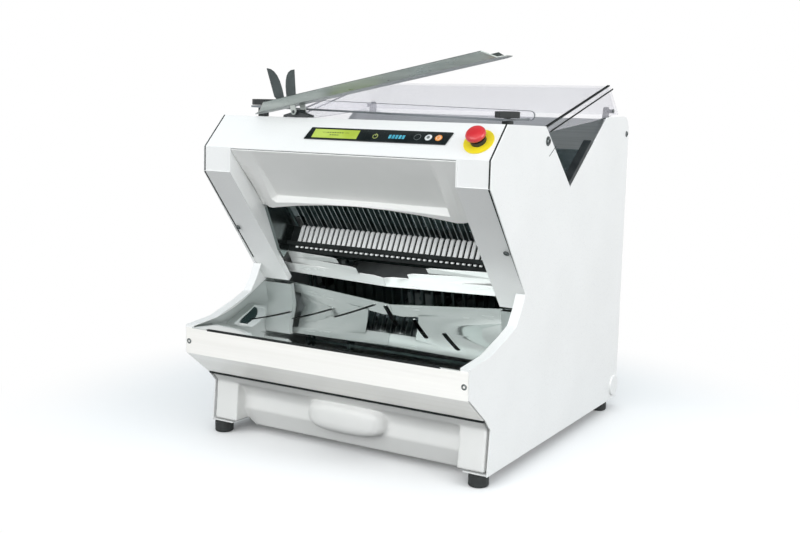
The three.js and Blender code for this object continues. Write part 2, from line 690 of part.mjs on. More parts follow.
function bladeFrame(middle, first, lugSide) {
  const pieces = [];
  const near = middle - bar.thick / 2;
  const far = middle + bar.thick / 2;
  for (const along of [bar.topMiddle, bar.bottomMiddle]) {
    pieces.push(box(-rod.x, rod.x, along - bar.half, along + bar.half, near, far));
    for (const side of [-1, 1]) {
      pieces.push(cylinderY(side * rod.x, middle, rod.boss,
        along - rod.bossHalf, along + rod.bossHalf, slimSides));
    }
  }
  for (let i = first; i < bladeCount; i += 2) {
    const x = (i - (bladeCount - 1) / 2) * blade.pitch;
    pieces.push(prismX(bladeOutline(middle), x - blade.thickness / 2, x + blade.thickness / 2));
  }
  const lugOuter = lug.inner + lug.thick;
  const pinEnd = conrod.inner + conrod.thick + sheet.frame;
  pieces.push(prismX([
    [lug.top, middle - lug.half],
    [lug.eyeAlong, middle - lug.half],
    [lug.eyeAlong + lug.half, middle],
    [lug.eyeAlong, middle + lug.half],
    [lug.top, middle + lug.half],
  ], ...sided(lugSide, lug.inner, lugOuter)));
  pieces.push(cylinderX(lug.eyeAlong, middle, conrod.pin, ...sided(lugSide, lugOuter - fit, pinEnd)));
  const bores = [-1, 1].map((side) => cylinderY(side * rod.x, middle, rod.radius + rod.clearance,
    bar.topMiddle - 2 * rod.bossHalf, bar.bottomMiddle + 2 * rod.bossHalf, slimSides));
  return carve(fuse(...pieces), ...bores);
}

function connectingRod(middle, crankDeep) {
  const small = [lug.eyeAlong, middle];
  const large = [crank.along, crankDeep];
  const heading = Math.atan2(large[1] - small[1], large[0] - small[0]);
  const side = [-Math.sin(heading) * conrod.waist, Math.cos(heading) * conrod.waist];
  const x0 = conrod.inner;
  const x1 = conrod.inner + conrod.thick;
  const web = prismX([
    [small[0] + side[0], small[1] + side[1]],
    [small[0] - side[0], small[1] - side[1]],
    [large[0] - side[0], large[1] - side[1]],
    [large[0] + side[0], large[1] + side[1]],
  ], x0, x1);
  const body = fuse(web,
    cylinderX(...small, conrod.smallEye, x0, x1),
    cylinderX(...large, conrod.eye, x0, x1, roundSides));
  return carve(body,
    cylinderX(...small, conrod.pin + fit, x0 - overrun, x1 + overrun),
    cylinderX(...large, conrod.crankPin + fit, x0 - overrun, x1 + overrun));
}

function crankShaft() {
  const [y, z] = inMachine(crank.along, crank.back);
  const shaftEnd = crank.discInner + fit;
  const discOuter = crank.discInner + crank.discThick;
  const rimOuter = pulley.half + pulley.rim;
  const pieces = [
    cylinderX(y, z, crank.shaftRadius, -shaftEnd, shaftEnd, roundSides),
    cylinderX(y, z, pulley.crankRadius, -pulley.half, pulley.half, wheelSides),
  ];
  for (const side of [-1, 1]) {
    const pin = inMachine(crank.along, crank.back + side * crank.throw);
    pieces.push(
      cylinderX(y, z, crank.discRadius, ...sided(side, crank.discInner, discOuter), roundSides),
      cylinderX(...pin, conrod.crankPin, ...sided(side, discOuter - fit, conrod.inner - 2 * fit)),
      cylinderX(y, z, pulley.crankRadius + pulley.rim, ...sided(side, pulley.half, rimOuter), wheelSides));
  }
  return fuse(...pieces);
}

function bearingBlock() {
  const [y, z] = inMachine(crank.along, crank.back);
  const low = base.z + sheet.base + fit;
  const x0 = bearing.x - bearing.thick / 2;
  const x1 = bearing.x + bearing.thick / 2;
  const body = fuse(
    cylinderX(y, z, bearing.ring, x0, x1, wheelSides),
    prismX([
      [y - bearing.foot, low],
      [y + bearing.foot, low],
      [y + bearing.foot, low + bearing.thick / 2],
      [y + bearing.ring - overrun, z],
      [y - bearing.ring + overrun, z],
      [y - bearing.foot, low + bearing.thick / 2],
    ], x0, x1));
  return carve(body, cylinderX(y, z, crank.shaftRadius + fit, x0 - overrun, x1 + overrun, roundSides));
}

function beltLoop(motorZ) {
  const [crankY, crankZ] = inMachine(crank.along, crank.back);
  const loop = (extra) => {
    const r0 = pulley.crankRadius + extra;
    const r1 = pulley.motorRadius + extra;
    const reach = Math.hypot(motor.y - crankY, motorZ - crankZ);
    const heading = Math.atan2(motorZ - crankZ, motor.y - crankY);
    const spread = Math.acos((r0 - r1) / reach);
    const steps = 18;
    const arc = (y, z, radius, from, to) => Array.from({ length: steps + 1 }, (_, i) => {
      const angle = mix(from, to, i / steps);
      return [y + radius * Math.cos(angle), z + radius * Math.sin(angle)];
    });
    return [
      ...arc(crankY, crankZ, r0, heading + spread, heading + 2 * Math.PI - spread),
      ...arc(motor.y, motorZ, r1, heading - spread, heading + spread),
    ];
  };
  return prismX(loop(slip + belt.thick), -belt.half, belt.half, [loop(slip)]);
}

function driveMotor(motorZ) {
  const x0 = motor.from;
  const x1 = motor.from + motor.long;
  const low = base.z + sheet.base + fit;
  const profile = [
    [0, x0],
    [motor.shoulder, x0],
    [motor.radius, x0 + motor.cowl / 2],
    [motor.radius, x1 - motor.cowl],
    [motor.radius + sheet.base, x1 - motor.cowl],
    [motor.radius + sheet.base, x1 - overrun],
    [motor.radius - overrun, x1],
    [0, x1],
  ];
  const turn = new THREE.Matrix4().makeBasis(
    new THREE.Vector3(0, 1, 0), new THREE.Vector3(1, 0, 0), new THREE.Vector3(0, 0, -1));
  const can = lathe(profile, wheelSides).applyMatrix4(turn).translate(0, motor.y, motorZ);
  const feet = box(x0 + motor.cowl, x1 - 2 * motor.cowl,
    motor.y - motor.foot, motor.y + motor.foot, low, low + bearing.thick);
  const terminal = box(x0 + motor.cowl, x0 + 2.5 * motor.cowl, motor.y - motor.cowl, motor.y + motor.cowl,
    motorZ, motorZ + motor.radius + motor.cowl / 2);
  return fuse(can, feet, terminal);
}

function motorPulley(motorZ) {
  const rimRadius = pulley.motorRadius + pulley.rim;
  const rimOuter = pulley.half + pulley.rim;
  return fuse(
    cylinderX(motor.y, motorZ, pulley.motorRadius, -pulley.half, pulley.half, roundSides),
    cylinderX(motor.y, motorZ, motor.shaft, -rimOuter, motor.from - fit),
    cylinderX(motor.y, motorZ, rimRadius, -rimOuter, -pulley.half, roundSides),
    cylinderX(motor.y, motorZ, rimRadius, pulley.half, rimOuter, roundSides));
}

function crossBar(middle, windows) {
  const bar0 = box(-spanHalf, spanHalf, middle - crossMember.half, middle + crossMember.half,
    crossMember.front, crossMember.back);
  return windows.length ? carve(bar0, ...windows) : bar0;
}

// Loaf bed with its rails; the bed's tail folds down behind the trough
function loafBed() {
  const reach = bedEnd - bed.start;
  const plate = box(-spanHalf, spanHalf, bed.start, bedEnd, -sheet.bed, 0);
  const tail = prismX(ribbon([
    [bedEnd - sheet.bed, 0],
    [bedEnd + bed.tail * Math.cos(bedAngle), -bed.tail * Math.sin(bedAngle)],
    [bedEnd + bed.tail * Math.cos(bedAngle) - bed.tailDrop * Math.sin(bedAngle),
      -bed.tail * Math.sin(bedAngle) - bed.tailDrop * Math.cos(bedAngle)],
  ], 0, -sheet.bed), -spanHalf, spanHalf);
  const slots = [-1, 1].map((side) => box(
    side * pusherArm.x - pusherArm.slotWide / 2, side * pusherArm.x + pusherArm.slotWide / 2,
    pusher.at - pusher.forward - pusher.thick, pusher.at + pusher.back + 2 * pusher.thick,
    -sheet.bed - overrun, overrun));
  const railGaps = [-1, 1].map((side) => box(...sided(side, rail.inner - fit, halfWidth + overrun),
    rail.from - fit, rail.to + fit, -reach, overrun));
  return carve(fuse(plate, tail), ...slots, ...railGaps);
}

// Pusher: a fingered plate on two arms that reach through the bed to the screw's nut
function loafPusher() {
  const front = pusher.at;
  const rear = pusher.at + pusher.thick;
  const plate = box(-pusher.half, pusher.half, front, rear, pusher.lift, pusher.height);
  const gaps = [];
  const count = Math.floor(2 * (pusher.half - pusher.fingerPitch / 2) / pusher.fingerPitch);
  for (let i = 0; i < count; i += 1) {
    const x = (i - (count - 1) / 2) * pusher.fingerPitch;
    if (Math.abs(Math.abs(x) - pusherArm.x) > pusherArm.slotWide / 2) {
      gaps.push(box(x - pusher.fingerGap / 2, x + pusher.fingerGap / 2,
        front - overrun, front + pusher.thick / 2, pusher.lift + pusher.thick, pusher.height + overrun));
    }
  }
  const arms = [-1, 1].map((side) => box(
    side * pusherArm.x - pusherArm.wide / 2, side * pusherArm.x + pusherArm.wide / 2,
    front, rear + pusher.thick, -pusherArm.below, pusher.lift + pusher.thick));
  const block = box(-nut.half, nut.half,
    front + nut.ahead, front + nut.ahead + nut.long,
    -screw.below - nut.tall / 2, -screw.below + nut.tall / 2);
  const bore = cylinderY(0, -screw.below, screw.radius + fit, front, rear + 2 * nut.long, roundSides);
  const shoes = [-1, 1].map((side) => box(...sided(side, pusher.half - fit, rail.inner - slip),
    front, rear, pusher.lift, pusher.lift + nut.tall));
  return carve(fuse(plate, ...arms, block, ...shoes), bore, ...gaps);
}

function leadScrew() {
  const neckEnd = screw.to + gearmotor.neck - fit;
  return fuse(
    cylinderY(0, -screw.below, screw.radius, screw.from, screw.to, roundSides),
    cylinderY(0, -screw.below, screw.neckRadius, screw.from - gearmotor.neck, neckEnd));
}

// A hanger under the bed carries the screw's lower end
function screwHanger() {
  const near = screw.from - gearmotor.neck / 2 - sheet.base;
  const far = screw.from - fit;
  const body = fuse(
    box(-nut.half / 2, nut.half / 2, near, far, -screw.below - nut.tall / 2, -sheet.bed - fit),
    box(-nut.half / 2, nut.half / 2, near, near + nut.long / 2,
      -sheet.bed - fit - sheet.base, -sheet.bed - fit));
  const neckBore = cylinderY(0, -screw.below, screw.neckRadius + fit, near - overrun, far + overrun);
  const screwBore = cylinderY(0, -screw.below, screw.radius + slip, far, far + nut.long, roundSides);
  return carve(body, neckBore, screwBore);
}

function screwMotor() {
  const start = screw.to + gearmotor.neck;
  const can = cylinderY(0, -screw.below - overrun, gearmotor.radius - overrun,
    start, start + gearmotor.long, wheelSides);
  const bracket = box(-gearmotor.radius, gearmotor.radius, start, start + sheet.base,
    -screw.below - gearmotor.radius + overrun, -sheet.bed - fit);
  return fuse(can, bracket);
}

// Drawer: a moulded fascia with a bulging grip, and a folded pan behind it
// A ball drawn out towards a rounded box; the greater the fullness, the squarer it is
function pillow(fullness) {
  const ball = new THREE.SphereGeometry(1, wheelSides, pinSides);
  const spot = ball.attributes.position;
  for (let i = 0; i < spot.count; i += 1) {
    const reach = [spot.getX(i), spot.getY(i), spot.getZ(i)];
    const sum = reach.reduce((total, value) => total + Math.abs(value) ** fullness, 0);
    const share = 1 / sum ** (1 / fullness);
    spot.setXYZ(i, ...reach.map((value) => value * share));
  }
  return ball;
}

function drawerFascia() {
  const behind = [
    [fascia.back, fascia.shelf],
    [fascia.topBack, fascia.shelf],
    [fascia.topBack, fascia.top.z],
    [fascia.top.y, fascia.top.z],
    [fascia.knee.y, fascia.knee.z],
  ];
  const middle = prismX([
    ...behind,
    [cove.y1, cove.z1],
    [cove.y2, cove.z2],
    [cove.y3, cove.z3],
    [fascia.bandTop.y, fascia.bandTop.z],
    [fascia.bandLow.y, fascia.bandLow.z],
    [fascia.lip.y, fascia.lip.z],
    [fascia.back, fascia.lip.z],
  ], -fascia.half + fit, fascia.half - fit);
  const inner = fascia.half - fascia.blockWide;
  const lipCuts = [-1, 1].map((side) => prismY([
    [side * inner, fascia.foot],
    [side * fascia.lipHalf, fascia.lip.z],
    [side * fascia.lipHalf, fascia.lip.z - overrun],
    [side * halfWidth, fascia.lip.z - overrun],
    [side * halfWidth, fascia.foot],
  ], fascia.toe, fascia.back + overrun));
  const blocks = [-1, 1].map((side) => prismX([
    ...behind,
    [fascia.toe, fascia.foot],
    [fascia.back, fascia.foot],
  ], ...sided(side, inner, fascia.half)));
  const bulge = pillow(grip.fullness);
  bulge.scale(grip.half, grip.reach, grip.tall).translate(grip.x, fascia.bandTop.y, grip.z);
  const rear = box(-grip.half, grip.half + grip.x, fascia.back - fit / 2, fascia.back + grip.reach,
    fascia.lip.z, fascia.shelf + overrun);
  return carve(fuse(carve(middle, ...lipCuts), ...blocks, bulge), rear);
}

function drawerPan() {
  const front = fascia.back + fit;
  const outer = box(-drawer.half, drawer.half, front, drawer.rear, drawer.bottom, drawer.top);
  const hemHalf = drawer.half + drawer.hem;
  const hem = box(-hemHalf, hemHalf, front, drawer.rear, drawer.top - drawer.wall, drawer.top);
  const cavity = box(-drawer.half + drawer.wall, drawer.half - drawer.wall, front + drawer.wall,
    drawer.rear - drawer.wall, drawer.bottom + drawer.wall, drawer.top + overrun);
  return carve(fuse(outer, hem), cavity);
}

function drawerRunner() {
  const front = fascia.back + overrun;
  const top = drawer.top - drawer.wall - fit;
  return fuse(
    box(runner.inner, spanHalf, front, drawer.rear, top - runner.thick, top),
    box(spanHalf - runner.thick, spanHalf, front, drawer.rear, top - runner.drop, top));
}

function basePlate() {
  const plate = box(-spanHalf, spanHalf, base.front, base.rear, base.z, base.z + sheet.base);
  const window = box(-base.windowHalf, base.windowHalf, base.windowFront, base.windowRear,
    base.z - overrun, base.z + sheet.base + overrun);
  return carve(plate, window);
}

// Rear panel: one sheet up the back and forward as the deck behind the bed, with cooling slots
function rearPanel() {
  const back0 = depth - sheet.side - fit;
  const line = [
    [rearDeck.front, rearDeck.z],
    [back0, rearDeck.z],
    [back0, sheet.side + fit + overrun],
  ];
  const skin = prismX(ribbon(line, 0, -sheet.side), -spanHalf, spanHalf);
  const slots = [];
  for (const side of [-1, 1]) {
    for (let i = 0; i < vent.rows; i += 1) {
      const z = vent.top - i * vent.pitch;
      slots.push(box(...sided(side, vent.gap / 2, vent.gap / 2 + vent.wide),
        back0 - 2 * sheet.side, back0 + overrun, z - vent.tall, z));
    }
  }
  return carve(skin, ...slots);
}

function footPad() {
  const profile = [
    [0, -foot.height],
    [foot.radius - foot.taper, -foot.height],
    [foot.radius, -foot.height + foot.taper],
    [foot.radius, -fit],
    [0, -fit],
  ];
  return lathe(profile, wheelSides).rotateX(Math.PI / 2);
}

// Controls
function displayPanel() {
  const outline = [
    [display.left, display.low],
    [display.right, display.low],
    [display.right + display.skew, display.high],
    [display.left + display.skew, display.high],
  ];
  const body = prismZ(outline, fit, fit + display.thick);
  const pocket = box(screen.left - fit, screen.right + fit, screen.low - fit, screen.high + fit,
    fit + display.thick - screen.sunk - fit, fit + display.thick + overrun);
  return carve(body, pocket);
}

function stopButton() {
  const profile = [
    [0, stop.headBottom - stop.stem],
    [stop.stem, stop.headBottom - stop.stem],
    [stop.stem, stop.headBottom],
    [stop.head - sheet.frame, stop.headBottom],
    [stop.head, stop.headBottom + sheet.frame],
    [stop.head, stop.headBottom + overrun],
    [stop.head * stop.shoulderShare, stop.headTop - sheet.side],
    [stop.head * stop.domeShare, stop.headTop - sheet.side / 3],
    [0, stop.headTop],
  ];
  return lathe(profile, roundSides).rotateX(Math.PI / 2).translate(stop.x, stop.up, 0);
}

// Lid: clear sheet with a bend at the ridge, side flaps and dark edge strips
function lidCover() {
  const line = [
    [lid.front.y, lid.front.z],
    [lid.ridge.y, lid.ridge.z],
    [lid.tail.y, lid.tail.z],
  ];
  const top = prismX(ribbon(line, 0, -lid.thick), -lid.half, lid.half);
  const rise = unit(line[0], line[1]);
  const down0 = [lid.front.y + rise[1] * lidFlap.frontDrop, lid.front.z - rise[0] * lidFlap.frontDrop];
  const boss = circle(lidPin.y, lidPin.z, lidPin.boss, 16);
  const flap = [
    [line[0][0] + rise[1] * lid.thick / 2, line[0][1] - rise[0] * lid.thick / 2],
    [line[1][0], line[1][1] - lid.thick / 2],
    [line[2][0] - lid.thick / 2, line[2][1]],
    [lidPin.y + lidPin.boss, lidPin.z - lidPin.boss],
    [lidPin.y - lidPin.boss, lidPin.z - lidPin.boss],
    [lidFlap.lowY, lidFlap.lowZ],
    down0,
  ];
  const sides = [];
  for (const side of [-1, 1]) {
    const across = sided(side, lid.half - lidFlap.thick, lid.half);
    sides.push(prismX(flap, ...across), prismX(boss, ...across));
  }
  const through = lid.half + overrun;
  const bore = cylinderX(lidPin.y, lidPin.z, lidPin.radius + fit, -through, through);
  return carve(fuse(top, ...sides), bore);
}

function lidHinge() {
  const x0 = lidPin.bracketInner;
  const x1 = x0 + lidPin.bracketThick;
  const low = rearDeck.z + fit;
  const body = prismX([
    [lidPin.y - 2 * lidPin.boss, low],
    [lidPin.y + lidPin.boss / 2, low],
    [lidPin.y + lidPin.corner, lidPin.z],
    [lidPin.y + lidPin.boss / 2, lidPin.z + lidPin.corner],
    [lidPin.y - lidPin.boss / 2, lidPin.z + lidPin.corner],
    [lidPin.y - lidPin.boss, lidPin.z],
  ], x0, x1);
  return fuse(body, cylinderX(lidPin.y, lidPin.z, lidPin.radius, x1 - fit, lid.half + fit));
}

// Clear shelf on two studs, its rear edge turned up
function clearShelf() {
  const endSteps = 5;
  const tongue = (z0, z1) => {
    const middle = (z0 + z1) / 2;
    const radius = (z1 - z0) / 2;
    const right = Array.from({ length: endSteps + 1 }, (_, i) => {
      const angle = -Math.PI / 2 + Math.PI * i / endSteps;
      return [shelf.half - radius + radius * Math.cos(angle), middle + radius * Math.sin(angle)];
    });
    const left = right.map(([x, z]) => [-x, 2 * middle - z]);
    return [...right, ...left];
  };
  const plateHalf = shelf.half - shelf.lip / 2;
  const plate = box(-plateHalf, plateHalf, shelf.front, shelf.rear, 0, shelf.thick);
  const rearLip = prismY(tongue(0, shelf.lip), shelf.rear - shelf.thick, shelf.rear);
  const holes = [-1, 1].map((side) => cylinderZ(side * shelf.knobX, shelf.knobY, shelf.hole,
    -overrun, shelf.thick + overrun));
  const body = carve(fuse(plate, rearLip), ...holes);
  return body.rotateY(shelf.tilt).translate(0, 0, shelf.middleZ - shelf.thick);
}

function coverHeight(y) {
  return mix(chamferTop.z, deckFront.z, (y - chamferTop.y) / (deckFront.y - chamferTop.y));
}

function starKnob(side) {
  const plateTop = shelf.middleZ - side * shelf.knobX * Math.tan(shelf.tilt);
  const tiltRoom = knob.cap * Math.sin(shelf.tilt) + slip;
  const capBottom = plateTop + tiltRoom;
  const star = [];
  const steps = knob.lobes * 4;
  for (let i = 0; i < steps; i += 1) {
    const angle = 2 * Math.PI * i / steps;
    const radius = knob.cap - knob.dent * (1 - Math.cos(knob.lobes * angle)) / 2;
    star.push([side * shelf.knobX + radius * Math.cos(angle), shelf.knobY + radius * Math.sin(angle)]);
  }
  const flangeTop = plateTop - shelf.thick - knob.flange * Math.sin(shelf.tilt) - slip;
  const seat = coverHeight(shelf.knobY - knob.flange) + fit;
  return fuse(
    prismZ(star, capBottom, capBottom + knob.capTall),
    cylinderZ(side * shelf.knobX, shelf.knobY, knob.shaft, seat, capBottom + fit),
    cylinderZ(side * shelf.knobX, shelf.knobY, knob.flange, seat, flangeTop, roundSides));
}

// Bagging tray in its own sloping frame, hung on a pin over its post
const trayFrame = new THREE.Group();
trayFrame.position.set(tray.x, tray.y, tray.z);
trayFrame.rotation.y = -tray.slope;
machine.add(trayFrame);

function baggingTray() {
  const section = ribbon([
    [-trough.half, trough.floor + trough.tall],
    [-trough.floorHalf, trough.floor],
    [trough.floorHalf, trough.floor],
    [trough.half, trough.floor + trough.tall],
  ], 0, tray.thick);
  const channel = prismX(section, tray.left, tray.right);
  const plan = [
    [tray.left, 0],
    [tray.left + trough.taper / 3, -trough.nose],
    [tray.left + trough.taper, -trough.half - overrun],
    [tray.right - trough.taperRight, -trough.half - overrun],
    [tray.right, -trough.heel],
    [tray.right, trough.heel],
    [tray.right - trough.taperRight, trough.half + overrun],
    [tray.left + trough.taper, trough.half + overrun],
    [tray.left + trough.taper / 3, trough.nose],
  ];
  const rim = trough.floor + trough.tall;
  const trimmed = overlapOf(channel, prismZ(plan, trough.floor - overrun, rim + overrun));
  const ears = [-1, 1].map((side) => {
    const [y0] = sided(side, trayEar.half, trayEar.half + trayEar.thick);
    return fuse(
      cylinderY(0, 0, trayEar.radius, y0, y0 + trayEar.thick),
      box(-trayEar.radius, trayEar.radius, y0, y0 + trayEar.thick, 0, trough.floor + tray.thick / 2));
  });
  const bore = cylinderY(0, 0, trayEar.pin + fit, -trough.half, trough.half);
  return carve(fuse(trimmed, ...ears), bore);
}

function trayBracket() {
  const low = chamferTop.z + fit;
  const head = trayEar.radius - fit;
  const body = prismY([
    [tray.x - trayPost.long, low],
    [tray.x + trayPost.long, low],
    [tray.x + trayPost.long, low + trayPost.thick],
    [tray.x + head, tray.z],
    [tray.x + head / 2, tray.z + trayPost.thick],
    [tray.x - head / 2, tray.z + trayPost.thick],
    [tray.x - head, tray.z],
    [tray.x - trayPost.long, low + trayPost.thick],
  ], tray.y - trayPost.half, tray.y + trayPost.half);
  const pinHalf = trayEar.half + trayEar.thick + fit;
  return fuse(body, cylinderY(tray.x, tray.z, trayEar.pin, tray.y - pinHalf, tray.y + pinHalf));
}

function bagPaddle() {
  const steps = 7;
  const barrelSteps = 6;
  const hub = [paddle.inner + paddle.barrel, trough.floor + tray.thick + fit + paddle.barrel];
  const barrel = Array.from({ length: barrelSteps + 1 }, (_, i) => {
    const angle = Math.PI + Math.PI * i / barrelSteps;
    return [hub[0] + paddle.barrel * Math.cos(angle), hub[1] + paddle.barrel * Math.sin(angle)];
  });
  const rim = trough.floor + trough.tall;
  const tip = [paddle.inner + paddle.wide + paddle.lean, rim + paddle.tall];
  const belly = Array.from({ length: steps }, (_, i) => {
    const share = i / steps;
    const across = mix(paddle.inner, tip[0], share ** paddle.curve);
    return [across, mix(rim, tip[1], Math.sin(share * Math.PI / 2))];
  });
  const outline = [
    ...barrel,
    [paddle.inner + paddle.wide, rim + paddle.barrel],
    tip,
    ...belly.reverse(),
  ];
  return prismX(outline, paddle.x, paddle.x + paddle.thick);
}

// Assembly
placePair('side_panel', sidePanel(), paint);
place('base_plate', basePlate(), steel);
place('rear_panel', rearPanel(), paint);
place('front_frame', frontFrame(), paint);
place('hood_panel', hoodPanel(), moulding, cutting);
place('front_apron', frontApron(), steel);
place('outfeed_table', outfeedTable(), mirror);
place('outfeed_comb', outfeedComb(), nylon);
place('comb_clamp_bar', box(-combHalf, combHalf, combBar.y, combBar.y + combBar.thick,
  combBar.bottom, combBar.top), blackPlastic);

const cheekOutline = [
  [cheek.top, hoodDepth.side + hood.thick + slip],
  [hood.edgeSide + slip, hoodDepth.side + hood.thick + slip],
  [pillar.taperFrom, pillar.returnTop - sheet.frame],
  [pillar.taperTo, pillar.returnBottom],
  [cheek.bottom, pillar.returnBottom],
  [cheek.bottom, cheek.back],
  [cheek.top, cheek.back],
];
const cheekEdge = [
  [pillar.taperFrom, pillar.returnTop - sheet.frame],
  [pillar.taperTo, pillar.returnBottom],
  [pillar.taperTo, pillar.returnBottom + sheet.frame],
  [pillar.taperFrom, pillar.returnTop],
];
placePair('inner_cheek', fuse(
  prismX(cheekOutline, cheek.x, cheek.x + cheek.thick),
  prismX(cheekEdge, cheek.x, pillar.inner - fit)), steel, cutting);
placePair('guide_plates', fuse(...guidePlates()), steel);

place('loaf_bed', loafBed(), steel, bedFrame);
placePair('bed_rail', box(rail.inner, spanHalf, rail.from, rail.to, -rail.below, rail.above),
  blackPlastic, bedFrame);
place('loaf_pusher', loafPusher(), blackPlastic, bedFrame);
place('lead_screw', leadScrew(), bladeSteel, bedFrame);
place('screw_hanger', screwHanger(), casting, bedFrame);
place('screw_gearmotor', screwMotor(), casting, bedFrame);

const conrodWindows = [-1, 1].map((side) => box(
  ...sided(side, conrod.inner - overrun, conrod.inner + conrod.thick + overrun),
  crossMember.bottomMiddle - 2 * crossMember.half, crossMember.bottomMiddle + 2 * crossMember.half,
  crossMember.front + crossMember.wall, crossMember.back - crossMember.wall));
place('upper_cross_member', crossBar(crossMember.topMiddle, []), casting, cutting);
place('lower_cross_member', crossBar(crossMember.bottomMiddle, conrodWindows), casting, cutting);
for (const [key, middle] of [['a', frameDepthA], ['b', frameDepthB]]) {
  const guideRod = cylinderY(rod.x, middle, rod.radius, crossMember.topMiddle + crossMember.half + fit,
    crossMember.bottomMiddle - crossMember.half - fit, slimSides);
  placePair(`guide_rod_${key}`, guideRod, bladeSteel, cutting);
}
place('blade_frame_a', bladeFrame(frameDepthA, 0, -1), bladeSteel, cutting);
place('blade_frame_b', bladeFrame(frameDepthB, 1, 1), bladeSteel, cutting);
const rodA = connectingRod(frameDepthA, crank.back - crank.throw);
const rodB = connectingRod(frameDepthB, crank.back + crank.throw);
place('connecting_rod_a', mirrored(rodA), casting, cutting);
place('connecting_rod_b', rodB, casting, cutting);
place('crankshaft', crankShaft(), casting);
placePair('crank_bearing', bearingBlock(), casting);

const motorZ = base.z + sheet.base + motor.radius + bearing.thick / 2;
place('drive_motor', driveMotor(motorZ), casting);
place('motor_pulley', motorPulley(motorZ), casting);
place('drive_belt', beltLoop(motorZ), rubber);

for (const [end, y] of [['front', foot.front], ['rear', foot.rear]]) {
  for (const [side, sign] of [['left', -1], ['right', 1]]) {
    place(`foot_${end}_${side}`, footPad(), rubber).position.set(sign * foot.x, y, 0);
  }
}

place('display_panel', displayPanel(), blackPlastic, controls);
place('display_window', box(screen.left, screen.right, screen.low, screen.high,
  fit + display.thick - screen.sunk, fit + display.thick - fit), liquidCrystal, controls);
const ring = (radius, from, to) => prismZ(circle(stop.x, stop.up, radius, wheelSides), from, to,
  [circle(stop.x, stop.up, stop.bore, roundSides)]);
place('stop_plate', ring(stop.plate, fit, fit + stop.plateThick), yellow, controls);
place('stop_collar', ring(stop.collar, 2 * fit + stop.plateThick, stop.collarTop), blackPlastic, controls);
place('stop_button', stopButton(), red, controls);

place('drawer_fascia', drawerFascia(), moulding);
place('crumb_pan', drawerPan(), steel);
placePair('drawer_runner', drawerRunner(), steel);

place('lid_cover', lidCover(), acrylic);
placePair('lid_hinge', lidHinge(), blackPlastic);
place('clear_shelf', clearShelf(), acrylic);
place('shelf_knob_right', starKnob(1), rubber);
place('shelf_knob_left', starKnob(-1), rubber);

place('bagging_tray', baggingTray(), mirror, trayFrame);
place('tray_bracket', trayBracket(), blackPlastic);
place('bag_paddle_rear', bagPaddle(), greyPlastic, trayFrame);
const frontPaddle = bagPaddle().rotateZ(Math.PI).translate(2 * paddle.x + paddle.thick, 0, 0);
place('bag_paddle_front', frontPaddle, greyPlastic, trayFrame);

// The origin goes to the middle of the whole box, on the floor
machine.updateMatrixWorld(true);
const bounds = new THREE.Box3().setFromObject(machine, true);
machine.position.set(
  -(bounds.min.x + bounds.max.x) / 2,
  -(bounds.min.y + bounds.max.y) / 2,
  -bounds.min.z);

export default machine;
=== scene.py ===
import json
from math import radians, sin, tan

import bpy
from mathutils import Euler, Matrix, Vector


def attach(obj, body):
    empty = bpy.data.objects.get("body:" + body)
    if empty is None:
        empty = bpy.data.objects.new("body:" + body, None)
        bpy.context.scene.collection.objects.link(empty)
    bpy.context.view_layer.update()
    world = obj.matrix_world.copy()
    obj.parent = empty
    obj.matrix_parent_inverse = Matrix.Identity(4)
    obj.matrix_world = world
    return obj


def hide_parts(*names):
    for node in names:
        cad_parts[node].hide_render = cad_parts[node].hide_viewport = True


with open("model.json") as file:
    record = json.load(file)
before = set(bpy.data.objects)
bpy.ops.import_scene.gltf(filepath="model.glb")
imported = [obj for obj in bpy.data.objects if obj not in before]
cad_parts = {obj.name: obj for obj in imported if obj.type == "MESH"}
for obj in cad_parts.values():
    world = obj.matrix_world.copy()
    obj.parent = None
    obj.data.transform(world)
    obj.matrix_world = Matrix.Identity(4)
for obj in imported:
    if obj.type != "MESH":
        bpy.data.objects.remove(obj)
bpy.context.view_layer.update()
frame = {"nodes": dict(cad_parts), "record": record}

bodies = frame["record"]["behaviour"]["bodies"]
body_of_node = {node: body for body, nodes in bodies.items() for node in nodes}

mm = 0.001
side_words = {-1: "left", 1: "right"}
panel_face = 0.325
lip_front = -0.375
panel_foot = 0.022
slice_pitch = 0.0126


# Finishes

def new_finish(name, metallic, roughness, specular=0.5, coat=0.0):
    finish = bpy.data.materials.new(name)
    finish.use_nodes = True
    shader = finish.node_tree.nodes["Principled BSDF"]
    shader.inputs["Metallic"].default_value = metallic
    shader.inputs["Roughness"].default_value = roughness
    shader.inputs["Specular IOR Level"].default_value = specular
    shader.inputs["Coat Weight"].default_value = coat
    return finish, finish.node_tree.nodes, finish.node_tree.links, shader


def grain(nodes, links, scale, stretch=(1, 1, 1)):
    place = nodes.new("ShaderNodeTexCoord")
    mapping = nodes.new("ShaderNodeMapping")
    mapping.inputs["Scale"].default_value = stretch
    noise = nodes.new("ShaderNodeTexNoise")
    noise.inputs["Scale"].default_value = scale
    noise.inputs["Detail"].default_value = 3.0
    links.new(place.outputs["Object"], mapping.inputs["Vector"])
    links.new(mapping.outputs["Vector"], noise.inputs["Vector"])
    return noise.outputs["Fac"]


def tones(nodes, links, source, dark, light):
    """Two tones of a colour, mixed over the middle of the grain's range."""
    ramp = nodes.new("ShaderNodeValToRGB")
    for end, position, colour in zip(ramp.color_ramp.elements, (0.35, 0.65), (dark, light)):
        end.position = position
        end.color = (*colour, 1)
    links.new(source, ramp.inputs["Fac"])
    return ramp.outputs["Color"]


def spread(nodes, links, source, low, high, start=0.3, stop=0.7):
    span = nodes.new("ShaderNodeMapRange")
    span.inputs["From Min"].default_value = start
    span.inputs["From Max"].default_value = stop
    span.inputs["To Min"].default_value = low
    span.inputs["To Max"].default_value = high
    links.new(source, span.inputs["Value"])
    return span.outputs["Result"]


